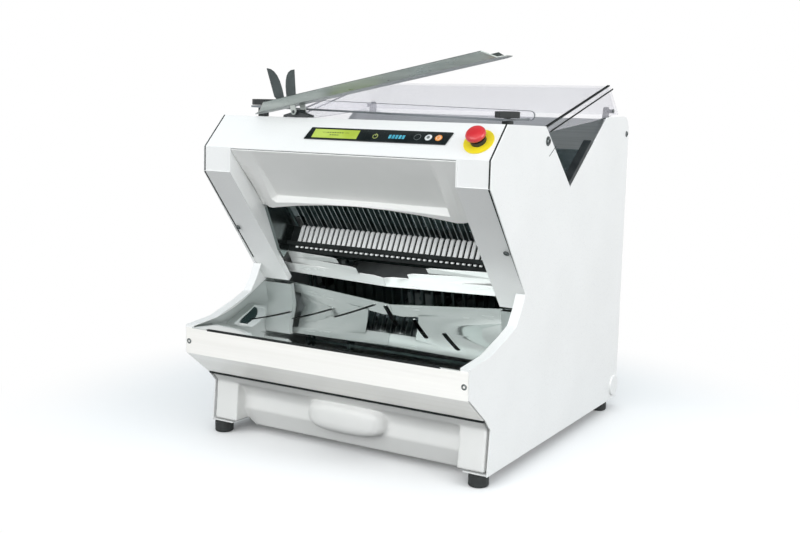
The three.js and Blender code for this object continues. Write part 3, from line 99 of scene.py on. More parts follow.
def relief(nodes, links, shader, source, depth, strength):
    bump = nodes.new("ShaderNodeBump")
    bump.inputs["Strength"].default_value = strength
    bump.inputs["Distance"].default_value = depth
    links.new(source, bump.inputs["Height"])
    links.new(bump.outputs["Normal"], shader.inputs["Normal"])


def plain_finish(name, dark, light, patches, roughness, grains, depth=0, metallic=0.0, specular=0.5, coat=0.0,
                 stretch=(1, 1, 1), strength=0.3):
    """Patches and grains are the scales of two noises, and depth is the grains' depth in millimetres."""
    finish, nodes, links, shader = new_finish(name, metallic, roughness[0], specular, coat)
    broad = grain(nodes, links, patches, stretch)
    fine = grain(nodes, links, grains, stretch)
    links.new(tones(nodes, links, broad, dark, light), shader.inputs["Base Color"])
    links.new(spread(nodes, links, fine, *roughness), shader.inputs["Roughness"])
    if depth:
        relief(nodes, links, shader, fine, depth * mm, strength)
    return finish


white_paint = plain_finish("white_paint", (0.87, 0.875, 0.87), (0.90, 0.905, 0.90), patches=6,
                           roughness=(0.26, 0.34), grains=900, depth=0.06, coat=0.15, strength=0.15)
white_moulding = plain_finish("white_moulding", (0.845, 0.85, 0.83), (0.885, 0.885, 0.87), patches=7,
                              roughness=(0.34, 0.44), grains=1500, depth=0.05, strength=0.2)
white_nylon = plain_finish("white_nylon", (0.93, 0.94, 0.93), (0.96, 0.97, 0.96), patches=40,
                           roughness=(0.3, 0.42), grains=1200, depth=0.04)
brushed_steel = plain_finish("brushed_steel", (0.70, 0.71, 0.69), (0.80, 0.805, 0.785), patches=14,
                             roughness=(0.26, 0.42), grains=60, depth=0.02, metallic=1.0,
                             stretch=(0.06, 22, 22))
apron_steel = plain_finish("apron_steel", (0.83, 0.825, 0.795), (0.88, 0.875, 0.85), patches=9,
                           roughness=(0.36, 0.48), grains=40, depth=0.01, metallic=0.75, stretch=(0.08, 9, 9),
                           strength=0.1)
polished_steel = plain_finish("polished_steel", (0.50, 0.545, 0.535), (0.56, 0.60, 0.59), patches=5,
                              roughness=(0.03, 0.06), grains=9, metallic=1.0)
plate_steel = plain_finish("plate_steel", (0.80, 0.82, 0.81), (0.88, 0.89, 0.88), patches=5,
                           roughness=(0.20, 0.28), grains=12, metallic=0.45, stretch=(0.1, 9, 9))
# The tray's steel is darkened below bare steel: a painted dark reflection.
tray_steel_dark_reflection = plain_finish("tray_steel_dark_reflection", (0.30, 0.335, 0.32), (0.42, 0.45, 0.43), patches=5,
                          roughness=(0.26, 0.36), grains=30, metallic=0.9, stretch=(0.1, 9, 9))
# The inner cheeks' dark steel is painted shade of the machine's inside.
cheek_steel = plain_finish("cheek_steel", (0.20, 0.235, 0.23), (0.27, 0.305, 0.30), patches=6,
                           roughness=(0.16, 0.26), grains=12, metallic=1.0)
# Blade steel is dark teal: painted shade of the blades standing inside the machine, darker than bare steel.
blade_steel = plain_finish("blade_steel", (0.12, 0.165, 0.165), (0.20, 0.25, 0.25), patches=60,
                           roughness=(0.30, 0.42), grains=300, depth=0.02, metallic=1.0)
# Lighter steel for the blades' front edges: a painted highlight where they catch the light, over the darker
# blade steel.
blade_edge = plain_finish("blade_edge", (0.42, 0.47, 0.47), (0.56, 0.60, 0.60), patches=60,
                          roughness=(0.3, 0.4), grains=300, metallic=0.5)
zinc_screw = plain_finish("zinc_screw", (0.06, 0.07, 0.07), (0.20, 0.22, 0.22), patches=300,
                          roughness=(0.25, 0.4), grains=900, depth=0.03, metallic=1.0)
grey_casting = plain_finish("grey_casting", (0.26, 0.28, 0.28), (0.34, 0.36, 0.36), patches=30,
                            roughness=(0.5, 0.66), grains=900, depth=0.2, specular=0.4)
black_plastic = plain_finish("black_plastic", (0.012, 0.016, 0.018), (0.028, 0.034, 0.036), patches=50,
                             roughness=(0.38, 0.52), grains=1600, depth=0.05)
# Near black for seams, strips and dark parts, and also for blocks that paint the shade inside gaps and behind
# the comb's fingers.
joint_black_and_shade = plain_finish("joint_black_and_shade", (0.006, 0.008, 0.008), (0.014, 0.018, 0.018), patches=50,
                         roughness=(0.6, 0.7), grains=1600, depth=0.05, specular=0.2)
grey_plastic = plain_finish("grey_plastic", (0.018, 0.03, 0.03), (0.038, 0.055, 0.055), patches=30,
                            roughness=(0.32, 0.46), grains=1300, depth=0.05)
black_rubber = plain_finish("black_rubber", (0.006, 0.008, 0.008), (0.016, 0.02, 0.02), patches=60,
                            roughness=(0.55, 0.75), grains=1400, depth=0.1)
yellow_plastic = plain_finish("yellow_plastic", (0.86, 0.70, 0.01), (0.92, 0.78, 0.03), patches=30,
                              roughness=(0.3, 0.4), grains=1200, depth=0.03)
red_plastic = plain_finish("red_plastic", (0.62, 0.02, 0.03), (0.72, 0.045, 0.05), patches=30,
                           roughness=(0.25, 0.36), grains=1200, depth=0.03, coat=0.3)
display_black = plain_finish("display_black", (0.006, 0.009, 0.01), (0.014, 0.019, 0.02), patches=40,
                             roughness=(0.2, 0.28), grains=500, depth=0.01)
screen_green = plain_finish("screen_green", (0.42, 0.54, 0.06), (0.52, 0.66, 0.12), patches=20,
                            roughness=(0.2, 0.28), grains=500, depth=0.01)
screen_mark = plain_finish("screen_mark", (0.03, 0.05, 0.02), (0.06, 0.08, 0.03), patches=80,
                           roughness=(0.3, 0.4), grains=500, depth=0.01)
lamp_cyan = plain_finish("lamp_cyan", (0.05, 0.36, 0.50), (0.12, 0.52, 0.66), patches=60,
                         roughness=(0.2, 0.3), grains=500, depth=0.01)


def key_finish(name, dark, light):
    return plain_finish(name, dark, light, patches=90, roughness=(0.3, 0.4), grains=800, depth=0.02)


key_orange = key_finish("key_orange", (0.82, 0.26, 0.03), (0.92, 0.36, 0.07))
key_white = key_finish("key_white", (0.62, 0.65, 0.66), (0.82, 0.84, 0.85))
key_grey = key_finish("key_grey", (0.10, 0.12, 0.12), (0.16, 0.18, 0.18))
key_green = key_finish("key_green", (0.34, 0.40, 0.10), (0.44, 0.50, 0.16))


def two_part_steel():
    """The bed: polished sheet in front, where the blades cut, darkened there as painted shade, and brushed
    sheet behind.
    """
    split, half_fade = 0.1475, 0.0005
    along_x = (0.06, 22, 22)
    finish, nodes, links, shader = new_finish("bed_steel", 1.0, 0.1)
    place = nodes.new("ShaderNodeTexCoord")
    apart = nodes.new("ShaderNodeSeparateXYZ")
    links.new(place.outputs["Object"], apart.inputs["Vector"])
    behind = spread(nodes, links, apart.outputs["Y"], 0.0, 1.0, split - half_fade, split + half_fade)
    # The front's dark teal tone is painted shade of the bed under the blades.
    shaded_front = tones(nodes, links, grain(nodes, links, 6), (0.30, 0.36, 0.36), (0.38, 0.44, 0.44))
    satin = tones(nodes, links, grain(nodes, links, 14, along_x), (0.70, 0.72, 0.70), (0.80, 0.815, 0.80))
    tint = nodes.new("ShaderNodeMix")
    tint.data_type = "RGBA"
    links.new(behind, tint.inputs["Factor"])
    links.new(shaded_front, tint.inputs["A"])
    links.new(satin, tint.inputs["B"])
    links.new(tint.outputs["Result"], shader.inputs["Base Color"])
    links.new(spread(nodes, links, behind, 0.06, 0.34, 0.0, 1.0), shader.inputs["Roughness"])
    return finish


def clear_finish(name, dark, light, alpha, roughness):
    finish, nodes, links, shader = new_finish(name, 0.0, roughness[0])
    links.new(tones(nodes, links, grain(nodes, links, 4), dark, light), shader.inputs["Base Color"])
    links.new(spread(nodes, links, grain(nodes, links, 12), *roughness), shader.inputs["Roughness"])
    shader.inputs["Alpha"].default_value = alpha
    return finish


bed_steel = two_part_steel()
clear_acrylic = clear_finish("clear_acrylic", (0.84, 0.81, 0.89), (0.90, 0.88, 0.94), 0.19, (0.04, 0.09))
acrylic_edge = clear_finish("acrylic_edge", (0.10, 0.12, 0.13), (0.22, 0.24, 0.26), 0.75, (0.1, 0.2))

finish_of_slot = {
    "white_paint": white_paint, "white_moulding": white_moulding, "white_nylon": white_nylon,
    "brushed_steel": brushed_steel, "polished_steel": polished_steel, "blade_steel": blade_steel,
    "grey_casting": grey_casting, "black_plastic": black_plastic, "grey_plastic": grey_plastic,
    "black_rubber": black_rubber, "lcd": screen_green, "yellow_plastic": yellow_plastic,
    "red_plastic": red_plastic, "clear_acrylic": clear_acrylic,
}
slot_of_node = {}
for node_name, node in frame["nodes"].items():
    slot_name = node.material_slots[0].material.name.split(".")[0]
    slot_of_node[node_name] = slot_name
    node.material_slots[0].material = finish_of_slot[slot_name]


# Shaping

def alone(piece):
    bpy.ops.object.select_all(action="DESELECT")
    piece.select_set(True)
    bpy.context.view_layer.objects.active = piece


def start_editing(piece, kind="FACE", action="DESELECT"):
    alone(piece)
    bpy.ops.object.mode_set(mode="EDIT")
    bpy.ops.mesh.select_mode(type=kind)
    bpy.ops.mesh.select_all(action=action)


def stop_editing():
    bpy.ops.object.mode_set(mode="OBJECT")


def pick_faces(piece, test):
    bpy.ops.object.mode_set(mode="OBJECT")
    for face in piece.data.polygons:
        face.select = bool(test(face.center, face.normal))
    bpy.ops.object.mode_set(mode="EDIT")


def apply_modifier(piece, kind, **settings):
    alone(piece)
    modifier = piece.modifiers.new(kind.lower(), kind)
    for key, value in settings.items():
        setattr(modifier, key, value)
    bpy.ops.object.modifier_apply(modifier=modifier.name)


def round_edges(piece, width, steps=2, angle=30):
    apply_modifier(piece, "BEVEL", width=width, segments=steps, limit_method="ANGLE",
                   angle_limit=radians(angle), use_clamp_overlap=True)


def smooth(piece, angle=40):
    alone(piece)
    bpy.ops.object.shade_smooth_by_angle(angle=radians(angle))


def faces_out(piece):
    start_editing(piece, action="SELECT")
    bpy.ops.mesh.remove_doubles(threshold=0.01 * mm)
    bpy.ops.mesh.normals_make_consistent(inside=False)
    stop_editing()


def thicken(piece, thick, even=False):
    faces_out(piece)
    apply_modifier(piece, "SOLIDIFY", thickness=thick, offset=0, use_even_offset=even)
    faces_out(piece)


def put(piece, matrix):
    alone(piece)
    piece.matrix_world = matrix @ piece.matrix_world
    bpy.ops.object.transform_apply(location=True, rotation=True, scale=True)


def facing(at, toward):
    return Matrix.Translation(at) @ Vector(toward).to_track_quat("Z", "Y").to_matrix().to_4x4()


def cut(piece, *cutters):
    for cutter in cutters:
        apply_modifier(piece, "BOOLEAN", object=cutter, operation="DIFFERENCE", solver="EXACT")
        bpy.data.objects.remove(cutter, do_unlink=True)


def settle(piece, body, slot, finish=None, stands_for=()):
    """Gives a finished piece its material, chosen by its slot unless a finish is given, and the body it rides
    on, and hides the nodes it stands for.
    """
    piece.data.materials.clear()
    piece.data.materials.append(finish or finish_of_slot[slot])
    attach(piece, body)
    if stands_for:
        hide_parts(*stands_for)


def settle_dark(piece, body="housing"):
    settle(piece, body, "black_plastic", joint_black_and_shade)


def twin(piece, name, matrix):
    copy = piece.copy()
    copy.data = piece.data.copy()
    copy.name = name
    bpy.context.scene.collection.objects.link(copy)
    put(copy, matrix)
    return copy


def merged_copy(name, node_name):
    """A copy of a node with its loose triangles joined."""
    piece = bpy.data.objects.new(name, frame["nodes"][node_name].data.copy())
    bpy.context.scene.collection.objects.link(piece)
    start_editing(piece, action="SELECT")
    bpy.ops.mesh.customdata_custom_splitnormals_clear()
    bpy.ops.mesh.remove_doubles(threshold=0.02 * mm)
    stop_editing()
    return piece


def plain_copy(name, node_name):
    """A copy of a node with its flat faces made whole."""
    piece = merged_copy(name, node_name)
    start_editing(piece, action="SELECT")
    bpy.ops.mesh.dissolve_limited(angle_limit=radians(0.6))
    stop_editing()
    return piece


def dressed(node_name, edge, steps=2, angle=30, blend=40, finish=None):
    """A copy of a node in its place, its edges rounded to a radius in millimetres."""
    piece = plain_copy(node_name + "_dressed", node_name)
    if edge:
        round_edges(piece, edge * mm, steps, angle)
    smooth(piece, blend)
    apply_modifier(piece, "WEIGHTED_NORMAL", mode="FACE_AREA", weight=50, keep_sharp=True)
    settle(piece, body_of_node[node_name], slot_of_node[node_name], finish, (node_name,))


def block(name, low, high, edge=0):
    """A block between two corners, its edges rounded to a radius in millimetres."""
    bpy.ops.object.select_all(action="DESELECT")
    low, high = Vector(low), Vector(high)
    bpy.ops.mesh.primitive_cube_add(size=1, location=(low + high) / 2)
    piece = bpy.context.object
    piece.name = name
    piece.scale = high - low
    bpy.ops.object.transform_apply(location=True, rotation=False, scale=True)
    if edge:
        round_edges(piece, edge * mm)
        smooth(piece)
    return piece


def folded_strip(name, line, low_x, high_x, thick):
    """A strip across the machine: a plane's edge drawn along a line of (y, z), then given its thickness."""
    y, z = line[0]
    bpy.ops.object.select_all(action="DESELECT")
    bpy.ops.mesh.primitive_plane_add(size=1, location=((low_x + high_x) / 2, y + 0.5, z))
    piece = bpy.context.object
    piece.name = name
    piece.scale = (high_x - low_x, 1, 1)
    bpy.ops.object.transform_apply(location=True, rotation=False, scale=True)
    start_editing(piece, "VERT")
    stop_editing()
    for point in piece.data.vertices:
        point.select = point.co.y > y + 0.5
    bpy.ops.object.mode_set(mode="EDIT")
    bpy.ops.mesh.delete(type="VERT")
    bpy.ops.mesh.select_all(action="SELECT")
    for next_y, next_z in line[1:]:
        bpy.ops.mesh.extrude_region_move(TRANSFORM_OT_translate={"value": (0, next_y - y, next_z - z)})
        y, z = next_y, next_z
    stop_editing()
    thicken(piece, thick, even=True)
    return piece


def ring(name, outer, inner, thick):
    """A flat ring in millimetres: a circle's edge drawn inwards, then given its thickness."""
    bpy.ops.object.select_all(action="DESELECT")
    bpy.ops.mesh.primitive_circle_add(vertices=32, radius=outer * mm, fill_type="NOTHING")
    piece = bpy.context.object
    piece.name = name
    start_editing(piece, "EDGE", "SELECT")
    bpy.ops.mesh.extrude_region_move()
    bpy.ops.transform.resize(value=(inner / outer, inner / outer, 1))
    stop_editing()
    thicken(piece, thick * mm)
    return piece


def turned(name, rings, sides=32, blend=40):
    """A disc raised and widened ring by ring. Each ring is its radius and its height, in millimetres."""
    radius, height = (size * mm for size in rings[0])
    bpy.ops.object.select_all(action="DESELECT")
    bpy.ops.mesh.primitive_circle_add(vertices=sides, radius=radius, fill_type="NGON",
                                      location=(0, 0, height))
    piece = bpy.context.object
    piece.name = name
    bpy.ops.object.transform_apply(location=True, rotation=False, scale=False)
    start_editing(piece, action="SELECT")
    for next_ring in rings[1:]:
        next_radius, next_height = (size * mm for size in next_ring)
        bpy.ops.mesh.extrude_region_move(TRANSFORM_OT_translate={"value": (0, 0, next_height - height)})
        share = next_radius / radius
        bpy.ops.transform.resize(value=(share, share, 1))
        radius, height = next_radius, next_height
    stop_editing()
    faces_out(piece)
    smooth(piece, blend)
    return piece


def profile(*points):
    """Side view points in millimetres from the lip's front and the panels' foot, in the frame's metres."""
    return [(y * mm + lip_front, z * mm + panel_foot) for y, z in points]


def side_strips(name, line, near, far, thick, body="housing"):
    """A dark strip on each side, between two distances from the middle."""
    for side, word in side_words.items():
        settle_dark(folded_strip(name + word, line, *sorted((side * near, side * far)), thick), body)


def rim_of(name, node_name, test, thick):
    """A thin skin over the narrow faces of a sheet, which show as its dark edge."""
    piece = plain_copy(name, node_name)
    start_editing(piece)
    pick_faces(piece, lambda centre, normal: not test(centre, normal))
    bpy.ops.mesh.delete(type="FACE")
    stop_editing()
    apply_modifier(piece, "SOLIDIFY", thickness=thick, offset=0)
    faces_out(piece)
    return piece


# Stage, lights and camera

def shine(nodes, kind, colour, strength):
    source = nodes.new(kind)
    source.inputs["Color"].default_value = (*colour, 1)
    source.inputs["Strength"].default_value = strength
    return source


def seen_or_lighting(nodes, links, seen, lighting):
    """One shader for what is seen, also in mirrors and through clear sheets, and one for all other light."""
    ray = nodes.new("ShaderNodeLightPath")
    sight = ray.outputs["Is Camera Ray"]
    for kind in ("Is Transmission Ray", "Is Glossy Ray"):
        either = nodes.new("ShaderNodeMath")
        either.operation = "MAXIMUM"
        links.new(sight, either.inputs[0])
        links.new(ray.outputs[kind], either.inputs[1])
        sight = either.outputs[0]
    choice = nodes.new("ShaderNodeMixShader")
    links.new(sight, choice.inputs[0])
    links.new(lighting.outputs[0], choice.inputs[1])
    links.new(seen.outputs[0], choice.inputs[2])
    return choice.outputs[0]


def make_stage():
    """White paper that shows pure white from a metre out, and keeps the shadow near the machine."""
    bpy.ops.object.select_all(action="DESELECT")
    bpy.ops.mesh.primitive_plane_add(size=40, location=(0, 0, -0.0005))
    floor = bpy.context.object
    floor.name = "studio_floor"
    paper = bpy.data.materials.new("studio_paper")
    paper.use_nodes = True
    nodes, links = paper.node_tree.nodes, paper.node_tree.links
    shader = nodes["Principled BSDF"]
    shader.inputs["Roughness"].default_value = 1.0
    shader.inputs["Specular IOR Level"].default_value = 0.0
    shader.inputs["Base Color"].default_value = (0.94, 0.94, 0.945, 1)
    near = nodes.new("ShaderNodeAddShader")
    links.new(shader.outputs[0], near.inputs[0])
    links.new(shine(nodes, "ShaderNodeEmission", (1, 1, 1), 0.03).outputs[0], near.inputs[1])
    position = nodes.new("ShaderNodeTexCoord")
    distance = nodes.new("ShaderNodeVectorMath")
    distance.operation = "LENGTH"
    links.new(position.outputs["Object"], distance.inputs[0])
    fade = nodes.new("ShaderNodeMapRange")
    fade.interpolation_type = "SMOOTHSTEP"
    fade.inputs["From Min"].default_value = 0.60
    fade.inputs["From Max"].default_value = 1.0
    links.new(distance.outputs["Value"], fade.inputs["Value"])
    seen = nodes.new("ShaderNodeMixShader")
    links.new(fade.outputs["Result"], seen.inputs[0])
    links.new(near.outputs[0], seen.inputs[1])
    links.new(shine(nodes, "ShaderNodeEmission", (1, 1, 1), 1.0).outputs[0], seen.inputs[2])
    bounce = nodes.new("ShaderNodeBsdfDiffuse")
    bounce.inputs["Color"].default_value = (0.07, 0.07, 0.07, 1)
    links.new(seen_or_lighting(nodes, links, seen, bounce), nodes["Material Output"].inputs["Surface"])
    floor.data.materials.append(paper)


def make_flag():
    """A dark cloth over the stage that only shiny surfaces see, as in a photographer's studio."""
    bpy.ops.object.select_all(action="DESELECT")
    bpy.ops.mesh.primitive_plane_add(size=1, location=(-2.3, 2.4, 3.4))
    flag = bpy.context.object
    flag.name = "overhead_flag"
    flag.scale = (9.4, 8.0, 1)
    bpy.ops.object.transform_apply(location=True, rotation=False, scale=True)
    cloth = bpy.data.materials.new("flag_cloth")
    cloth.use_nodes = True
    nodes, links = cloth.node_tree.nodes, cloth.node_tree.links
    glow = shine(nodes, "ShaderNodeEmission", (0.6, 1.0, 1.0), 0.05)
    links.new(glow.outputs[0], nodes["Material Output"].inputs["Surface"])
    flag.data.materials.append(cloth)
    flag.visible_camera = False
    flag.visible_diffuse = False
    flag.visible_transmission = False
    flag.visible_volume_scatter = False
    flag.visible_shadow = False


def make_air():
    world = bpy.context.scene.world or bpy.data.worlds.new("studio_air")
    bpy.context.scene.world = world
    world.use_nodes = True
    nodes, links = world.node_tree.nodes, world.node_tree.links
    nodes.clear()
    fill = shine(nodes, "ShaderNodeBackground", (0.90, 0.97, 1.0), 0.70)
    white = shine(nodes, "ShaderNodeBackground", (1, 1, 1), 1.0)
    output = nodes.new("ShaderNodeOutputWorld")
    links.new(seen_or_lighting(nodes, links, white, fill), output.inputs["Surface"])


def softbox(name, at, size, power):
    aim = Vector((0, -0.05, 0.35))
    lamp = bpy.data.lights.new(name, "AREA")
    lamp.shape = "SQUARE"
    lamp.size = size
    lamp.energy = power
    holder = bpy.data.objects.new(name, lamp)
    bpy.context.scene.collection.objects.link(holder)
    holder.location = at
    holder.rotation_euler = (aim - Vector(at)).to_track_quat("-Z", "Y").to_euler()


def make_camera():
    place = (1.17507, -2.05182, 0.71441)
    downward, heading, roll = radians(8.89), radians(30.71), radians(1.072)
    lens = bpy.data.cameras.new("camera")
    lens.lens = 49.9
    lens.sensor_width = 36
    camera = bpy.data.objects.new("camera", lens)
    bpy.context.scene.collection.objects.link(camera)
    turn = Euler((radians(90) - downward, 0, heading)).to_matrix() @ Matrix.Rotation(roll, 3, "Z")
    camera.matrix_world = Matrix.Translation(place) @ turn.to_4x4()
    bpy.context.scene.camera = camera


make_stage()
make_flag()
make_air()
make_camera()
softbox("front_softbox", (-1.5, -3.4, 2.0), size=2.2, power=38)
softbox("low_softbox", (0.6, -3.8, 1.0), size=2.2, power=32)
softbox("right_softbox", (2.2, -3.0, 2.2), size=2.2, power=22)
softbox("side_softbox", (3.4, -0.4, 1.3), size=2.0, power=58)
softbox("top_softbox", (0.2, 0.0, 3.4), size=2.6, power=13)
bpy.context.scene.view_settings.view_transform = "Standard"


# Painted sheets and the steel

for word in side_words.values():
    dressed("side_panel_" + word, edge=0.6)
    dressed("inner_cheek_" + word, edge=0, blend=12, finish=cheek_steel)
    dressed("guide_plates_" + word, edge=0.3, steps=1, blend=12, finish=plate_steel)
    dressed("bed_rail_" + word, edge=1.5)
    dressed("lid_hinge_" + word, edge=0.8)
    dressed("foot_front_" + word, edge=1.2)
    dressed("foot_rear_" + word, edge=1.2)
    dressed("shelf_knob_" + word, edge=1.2)
dressed("front_frame", edge=1.4, steps=3)
dressed("rear_panel", edge=0.8)
dressed("front_apron", edge=0.8, finish=apron_steel)
dressed("comb_clamp_bar", edge=0.8, finish=joint_black_and_shade)
dressed("loaf_bed", edge=0, blend=12, finish=bed_steel)
dressed("loaf_pusher", edge=0.8, steps=1)
dressed("bagging_tray", edge=0, blend=12, finish=tray_steel_dark_reflection)
dressed("tray_bracket", edge=0.8)
dressed("bag_paddle_front", edge=0.6)
dressed("bag_paddle_rear", edge=0.6)
dressed("clear_shelf", edge=0.4)
dressed("lid_cover", edge=0.4)
dressed("display_panel", edge=0.5, finish=display_black)
dressed("display_window", edge=0.2)
dressed("stop_plate", edge=0.6)
dressed("stop_collar", edge=1.0)
dressed("hood_panel", edge=1.6, steps=3, angle=9, blend=30)


# The outfeed table, drawn over its wide bend in fine steps so that it mirrors cleanly

table_top = 0.217
table_front = -0.0049
table_length = 0.3049
table_half = 0.322
table_thick = 0.0015
table_steps = 60
table_level = 0.050
table_bend = 0.350
table_rise = radians(25)
tab_inner = 0.267
tab_outer = 0.3045
slot_start = (0.2452, 0.1089)
slot_step = (-0.0848, 0.0295)
slot_run = (-0.0651, 0.0579)


def table_height(y):
    """Over the panels' foot: level for 50 mm, then a wide bend up to 25 degrees, then straight on."""
    bend = min(max(y - table_level, 0), table_bend * sin(table_rise))
    straight = max(y - table_level - bend, 0)
    return table_top + table_bend - (table_bend ** 2 - bend ** 2) ** 0.5 + straight * tan(table_rise)


def front_cutter(low_x, high_x):
    """The table's front edge stands back, apart from a tab near each end."""
    return block("cut_front", (low_x, -0.39, 0.23), (high_x, -0.372, 0.25))


def crumb_slot_cutter(start_x, start_y, end_x, end_y):
    """A tall block along a slot, each end drawn out step by step to a half circle."""
    radius = 0.004
    along = Vector((end_x - start_x, end_y - start_y, 0))
    cutter = block("cut_slot", (-radius, radius, 0.2), (radius, along.length - radius, 0.4))
    for way, end in ((-1, radius), (1, along.length - radius)):
        start_editing(cutter)
        pick_faces(cutter, lambda centre, normal: abs(centre.y - end) < 0.1 * mm and abs(normal.y) > 0.9)
        for share, reach in ((0.86, 0.0021), (0.6, 0.0013), (0.25, 0.0006)):
            bpy.ops.mesh.extrude_region_move(TRANSFORM_OT_translate={"value": (0, way * reach, 0)})
            bpy.ops.transform.resize(value=(share, 1, 1))
        stop_editing()
    faces_out(cutter)
    turn = Vector((0, 1, 0)).rotation_difference(along.normalized()).to_matrix().to_4x4()
    put(cutter, Matrix.Translation((start_x, start_y, 0)) @ turn)
    return cutter


def make_table():
    past_end = 0.4005
    stations = [table_front + table_length * i / table_steps for i in range(table_steps + 1)]
    line = [(y + lip_front, table_height(y) + panel_foot - table_thick / 2) for y in stations]
    table = folded_strip("table_sheet", line, -table_half, table_half, table_thick)
    cutters = [front_cutter(-tab_inner, tab_inner)]
    for side in side_words:
        cutters.append(front_cutter(*sorted((side * tab_outer, side * past_end))))
        for i in range(3):
            x = slot_start[0] + i * slot_step[0]
            y = slot_start[1] + i * slot_step[1] + lip_front
            cutters.append(crumb_slot_cutter(side * x, y, side * (x + slot_run[0]), y + slot_run[1]))
    cut(table, *cutters)
    smooth(table, 1)
    settle(table, "housing", "polished_steel", None, ("outfeed_table",))


make_table()


# Rows of equal pieces, centred across the machine: the outfeed comb and the blades

def make_row(piece, count, spacing):
    put(piece, Matrix.Translation((-(count - 1) * spacing / 2, 0, 0)))
    apply_modifier(piece, "ARRAY", count=count, use_relative_offset=False, use_constant_offset=True,
                   constant_offset_displace=(spacing, 0, 0))


def make_comb():
    """White fingers over the dark clamp bar, their noses below it, and behind them a dark strip of painted
    shade that shows between the fingers.
    """
    finger_count = 36
    finger_half = 0.0041
    shade_strip_half = 0.2468
    finger_line = profile((246.5, 371), (262, 402), (266, 404.5))
    shade_strip_line = profile((243.5, 351), (250.5, 370), (267, 402.5))
    finger = folded_strip("comb_fingers", finger_line, -finger_half, finger_half, 0.0045)
    round_edges(finger, 1.2 * mm)
    smooth(finger)
    nose = block("comb_noses", (-0.0030, -0.1385, 0.3825), (0.0030, -0.1320, 0.3860), edge=0.9)
    for piece in (finger, nose):
        make_row(piece, finger_count, slice_pitch)
    settle(finger, "housing", "white_nylon", None, ("outfeed_comb",))
    settle(nose, "housing", "white_nylon")
    # The dark strip behind the fingers is painted shade, seen between them.
    settle_dark(folded_strip("comb_shade_strip", shade_strip_line, -shade_strip_half, shade_strip_half, 0.0012))


# Back into the machine along Y and down the blades along Z, from a point on the blades' front edges

along_blade = Matrix(((1, 0, 0, 0), (0, 0.7778, 0.6285, -0.2284), (0, 0.6285, -0.7778, 0.5848), (0, 0, 0, 1)))


def make_blade_row(name, front, back, count, node_name, finish):
    """A piece between two depths in each blade of a frame, over the length that shows."""
    half_thick = 0.0005
    top, bottom = 0.060, 0.235
    piece = block(name, (-half_thick, front, top), (half_thick, back, bottom))
    put(piece, along_blade)
    faces_out(piece)
    make_row(piece, count, 2 * slice_pitch)
    settle(piece, body_of_node[node_name], "blade_steel", finish)


make_comb()
# The blades' sides are dark blade steel, painted shade, and their front edges the lighter steel, a painted
# highlight.
make_blade_row("blade_depth_b", 0.0006, 0.0168, count=18, node_name="blade_frame_b", finish=blade_steel)
make_blade_row("blade_edge_a", -0.0006, 0.0002, count=19, node_name="blade_frame_a", finish=blade_edge)
make_blade_row("blade_edge_b", -0.0006, 0.0006, count=18, node_name="blade_frame_b", finish=blade_edge)


# Gaps and seams that show as dark lines

seam_line = profile((122, 641), (60, 579), (59, 528), (216, 334))
slit_line = [(-0.0660, 0.5996), (-0.0354, 0.6172)]
side_strips("frame_seam_", seam_line, near=0.3199, far=0.3223, thick=0.0014)
side_strips("panel_slit_", slit_line, near=0.3246, far=0.3253, thick=0.0014)
# Dark blocks in the gap in front of the table and above the drawer: painted shade inside these gaps.
settle_dark(block("table_gap_shade", (-tab_inner, -0.3774, 0.2353), (tab_inner, -0.3722, 0.2389), edge=0.2))
settle_dark(block("drawer_gap_shade", (-0.320, -0.3088, 0.1275), (0.320, -0.285, 0.1342), edge=0.4))


# Small fasteners

def make_screws(name, radius, places, body="housing"):
    """A dark washer, and on it a domed head with its socket, at each place. The radius is in millimetres."""
    shares = ((1, 0), (1, 0.1), (0.78, 0.12), (0.76, 0.28), (0.6, 0.40), (0.36, 0.42), (0.32, 0.1))
    rings = [(radius * width, radius * height) for width, height in shares]
    pattern = turned("screw_pattern", rings, sides=24)
    for i, (at, toward) in enumerate(places):
        settle(twin(pattern, f"{name}_{i + 1}", facing(at, toward)), body, "brushed_steel", zinc_screw)
    bpy.data.objects.remove(pattern, do_unlink=True)


def both_sides(x, y, z, toward=None):
    """A place on each side, facing outwards unless it is given another way."""
    return [((side * x, y, z), toward or (side, 0, 0)) for side in side_words]


rear_places = [((side * 0.296, 0.3772, z), (0, 1, 0)) for side in side_words for z in (0.08, 0.32, 0.58)]
make_screws("pillar_screw", 6.0, both_sides(0.3136, -0.2204, 0.4270, (0, -0.7777, -0.6286)))
make_screws("lip_screw", 7.4, both_sides(0.3146, lip_front, 0.2092, (0, -1, 0)))
make_screws("panel_bolt", 9.5, both_sides(panel_face, -0.0750, 0.6287))
make_screws("rear_screw", 5.0, rear_places)
make_screws("hinge_cap", 5.0, both_sides(0.3180, 0.2920, 0.6835), body="lid")
make_screws("rear_socket", 6.5, both_sides(panel_face, 0.3660, 0.6326))


# The display on the chamfer, with its lit window's marks and its keys, in millimetres along, up and out of it

chamfer = Matrix(((1, 0, 0, 0), (0, 0.70711, -0.70711, -0.315), (0, 0.70711, 0.70711, 0.601), (0, 0, 0, 1)))


def put_on_chamfer(piece, x, up, out=0):
    put(piece, chamfer @ Matrix.Translation((x * mm, up * mm, out * mm)))


def chip(name, low, high, finish, slot="black_plastic", edge=0.2):
    piece = block(name, [size * mm for size in low], [size * mm for size in high], edge)
    put_on_chamfer(piece, 0, 0)
    settle(piece, "housing", slot, finish)


def dial(name, x, up, rings, finish):
    piece = turned(name, rings)
    put_on_chamfer(piece, x, up)
    settle(piece, "housing", None, finish)


def flat_ring(name, x, up, outer, inner, out, finish):
    piece = ring(name, outer, inner, 0.4)
    put_on_chamfer(piece, x, up, out)
    settle(piece, "housing", None, finish)


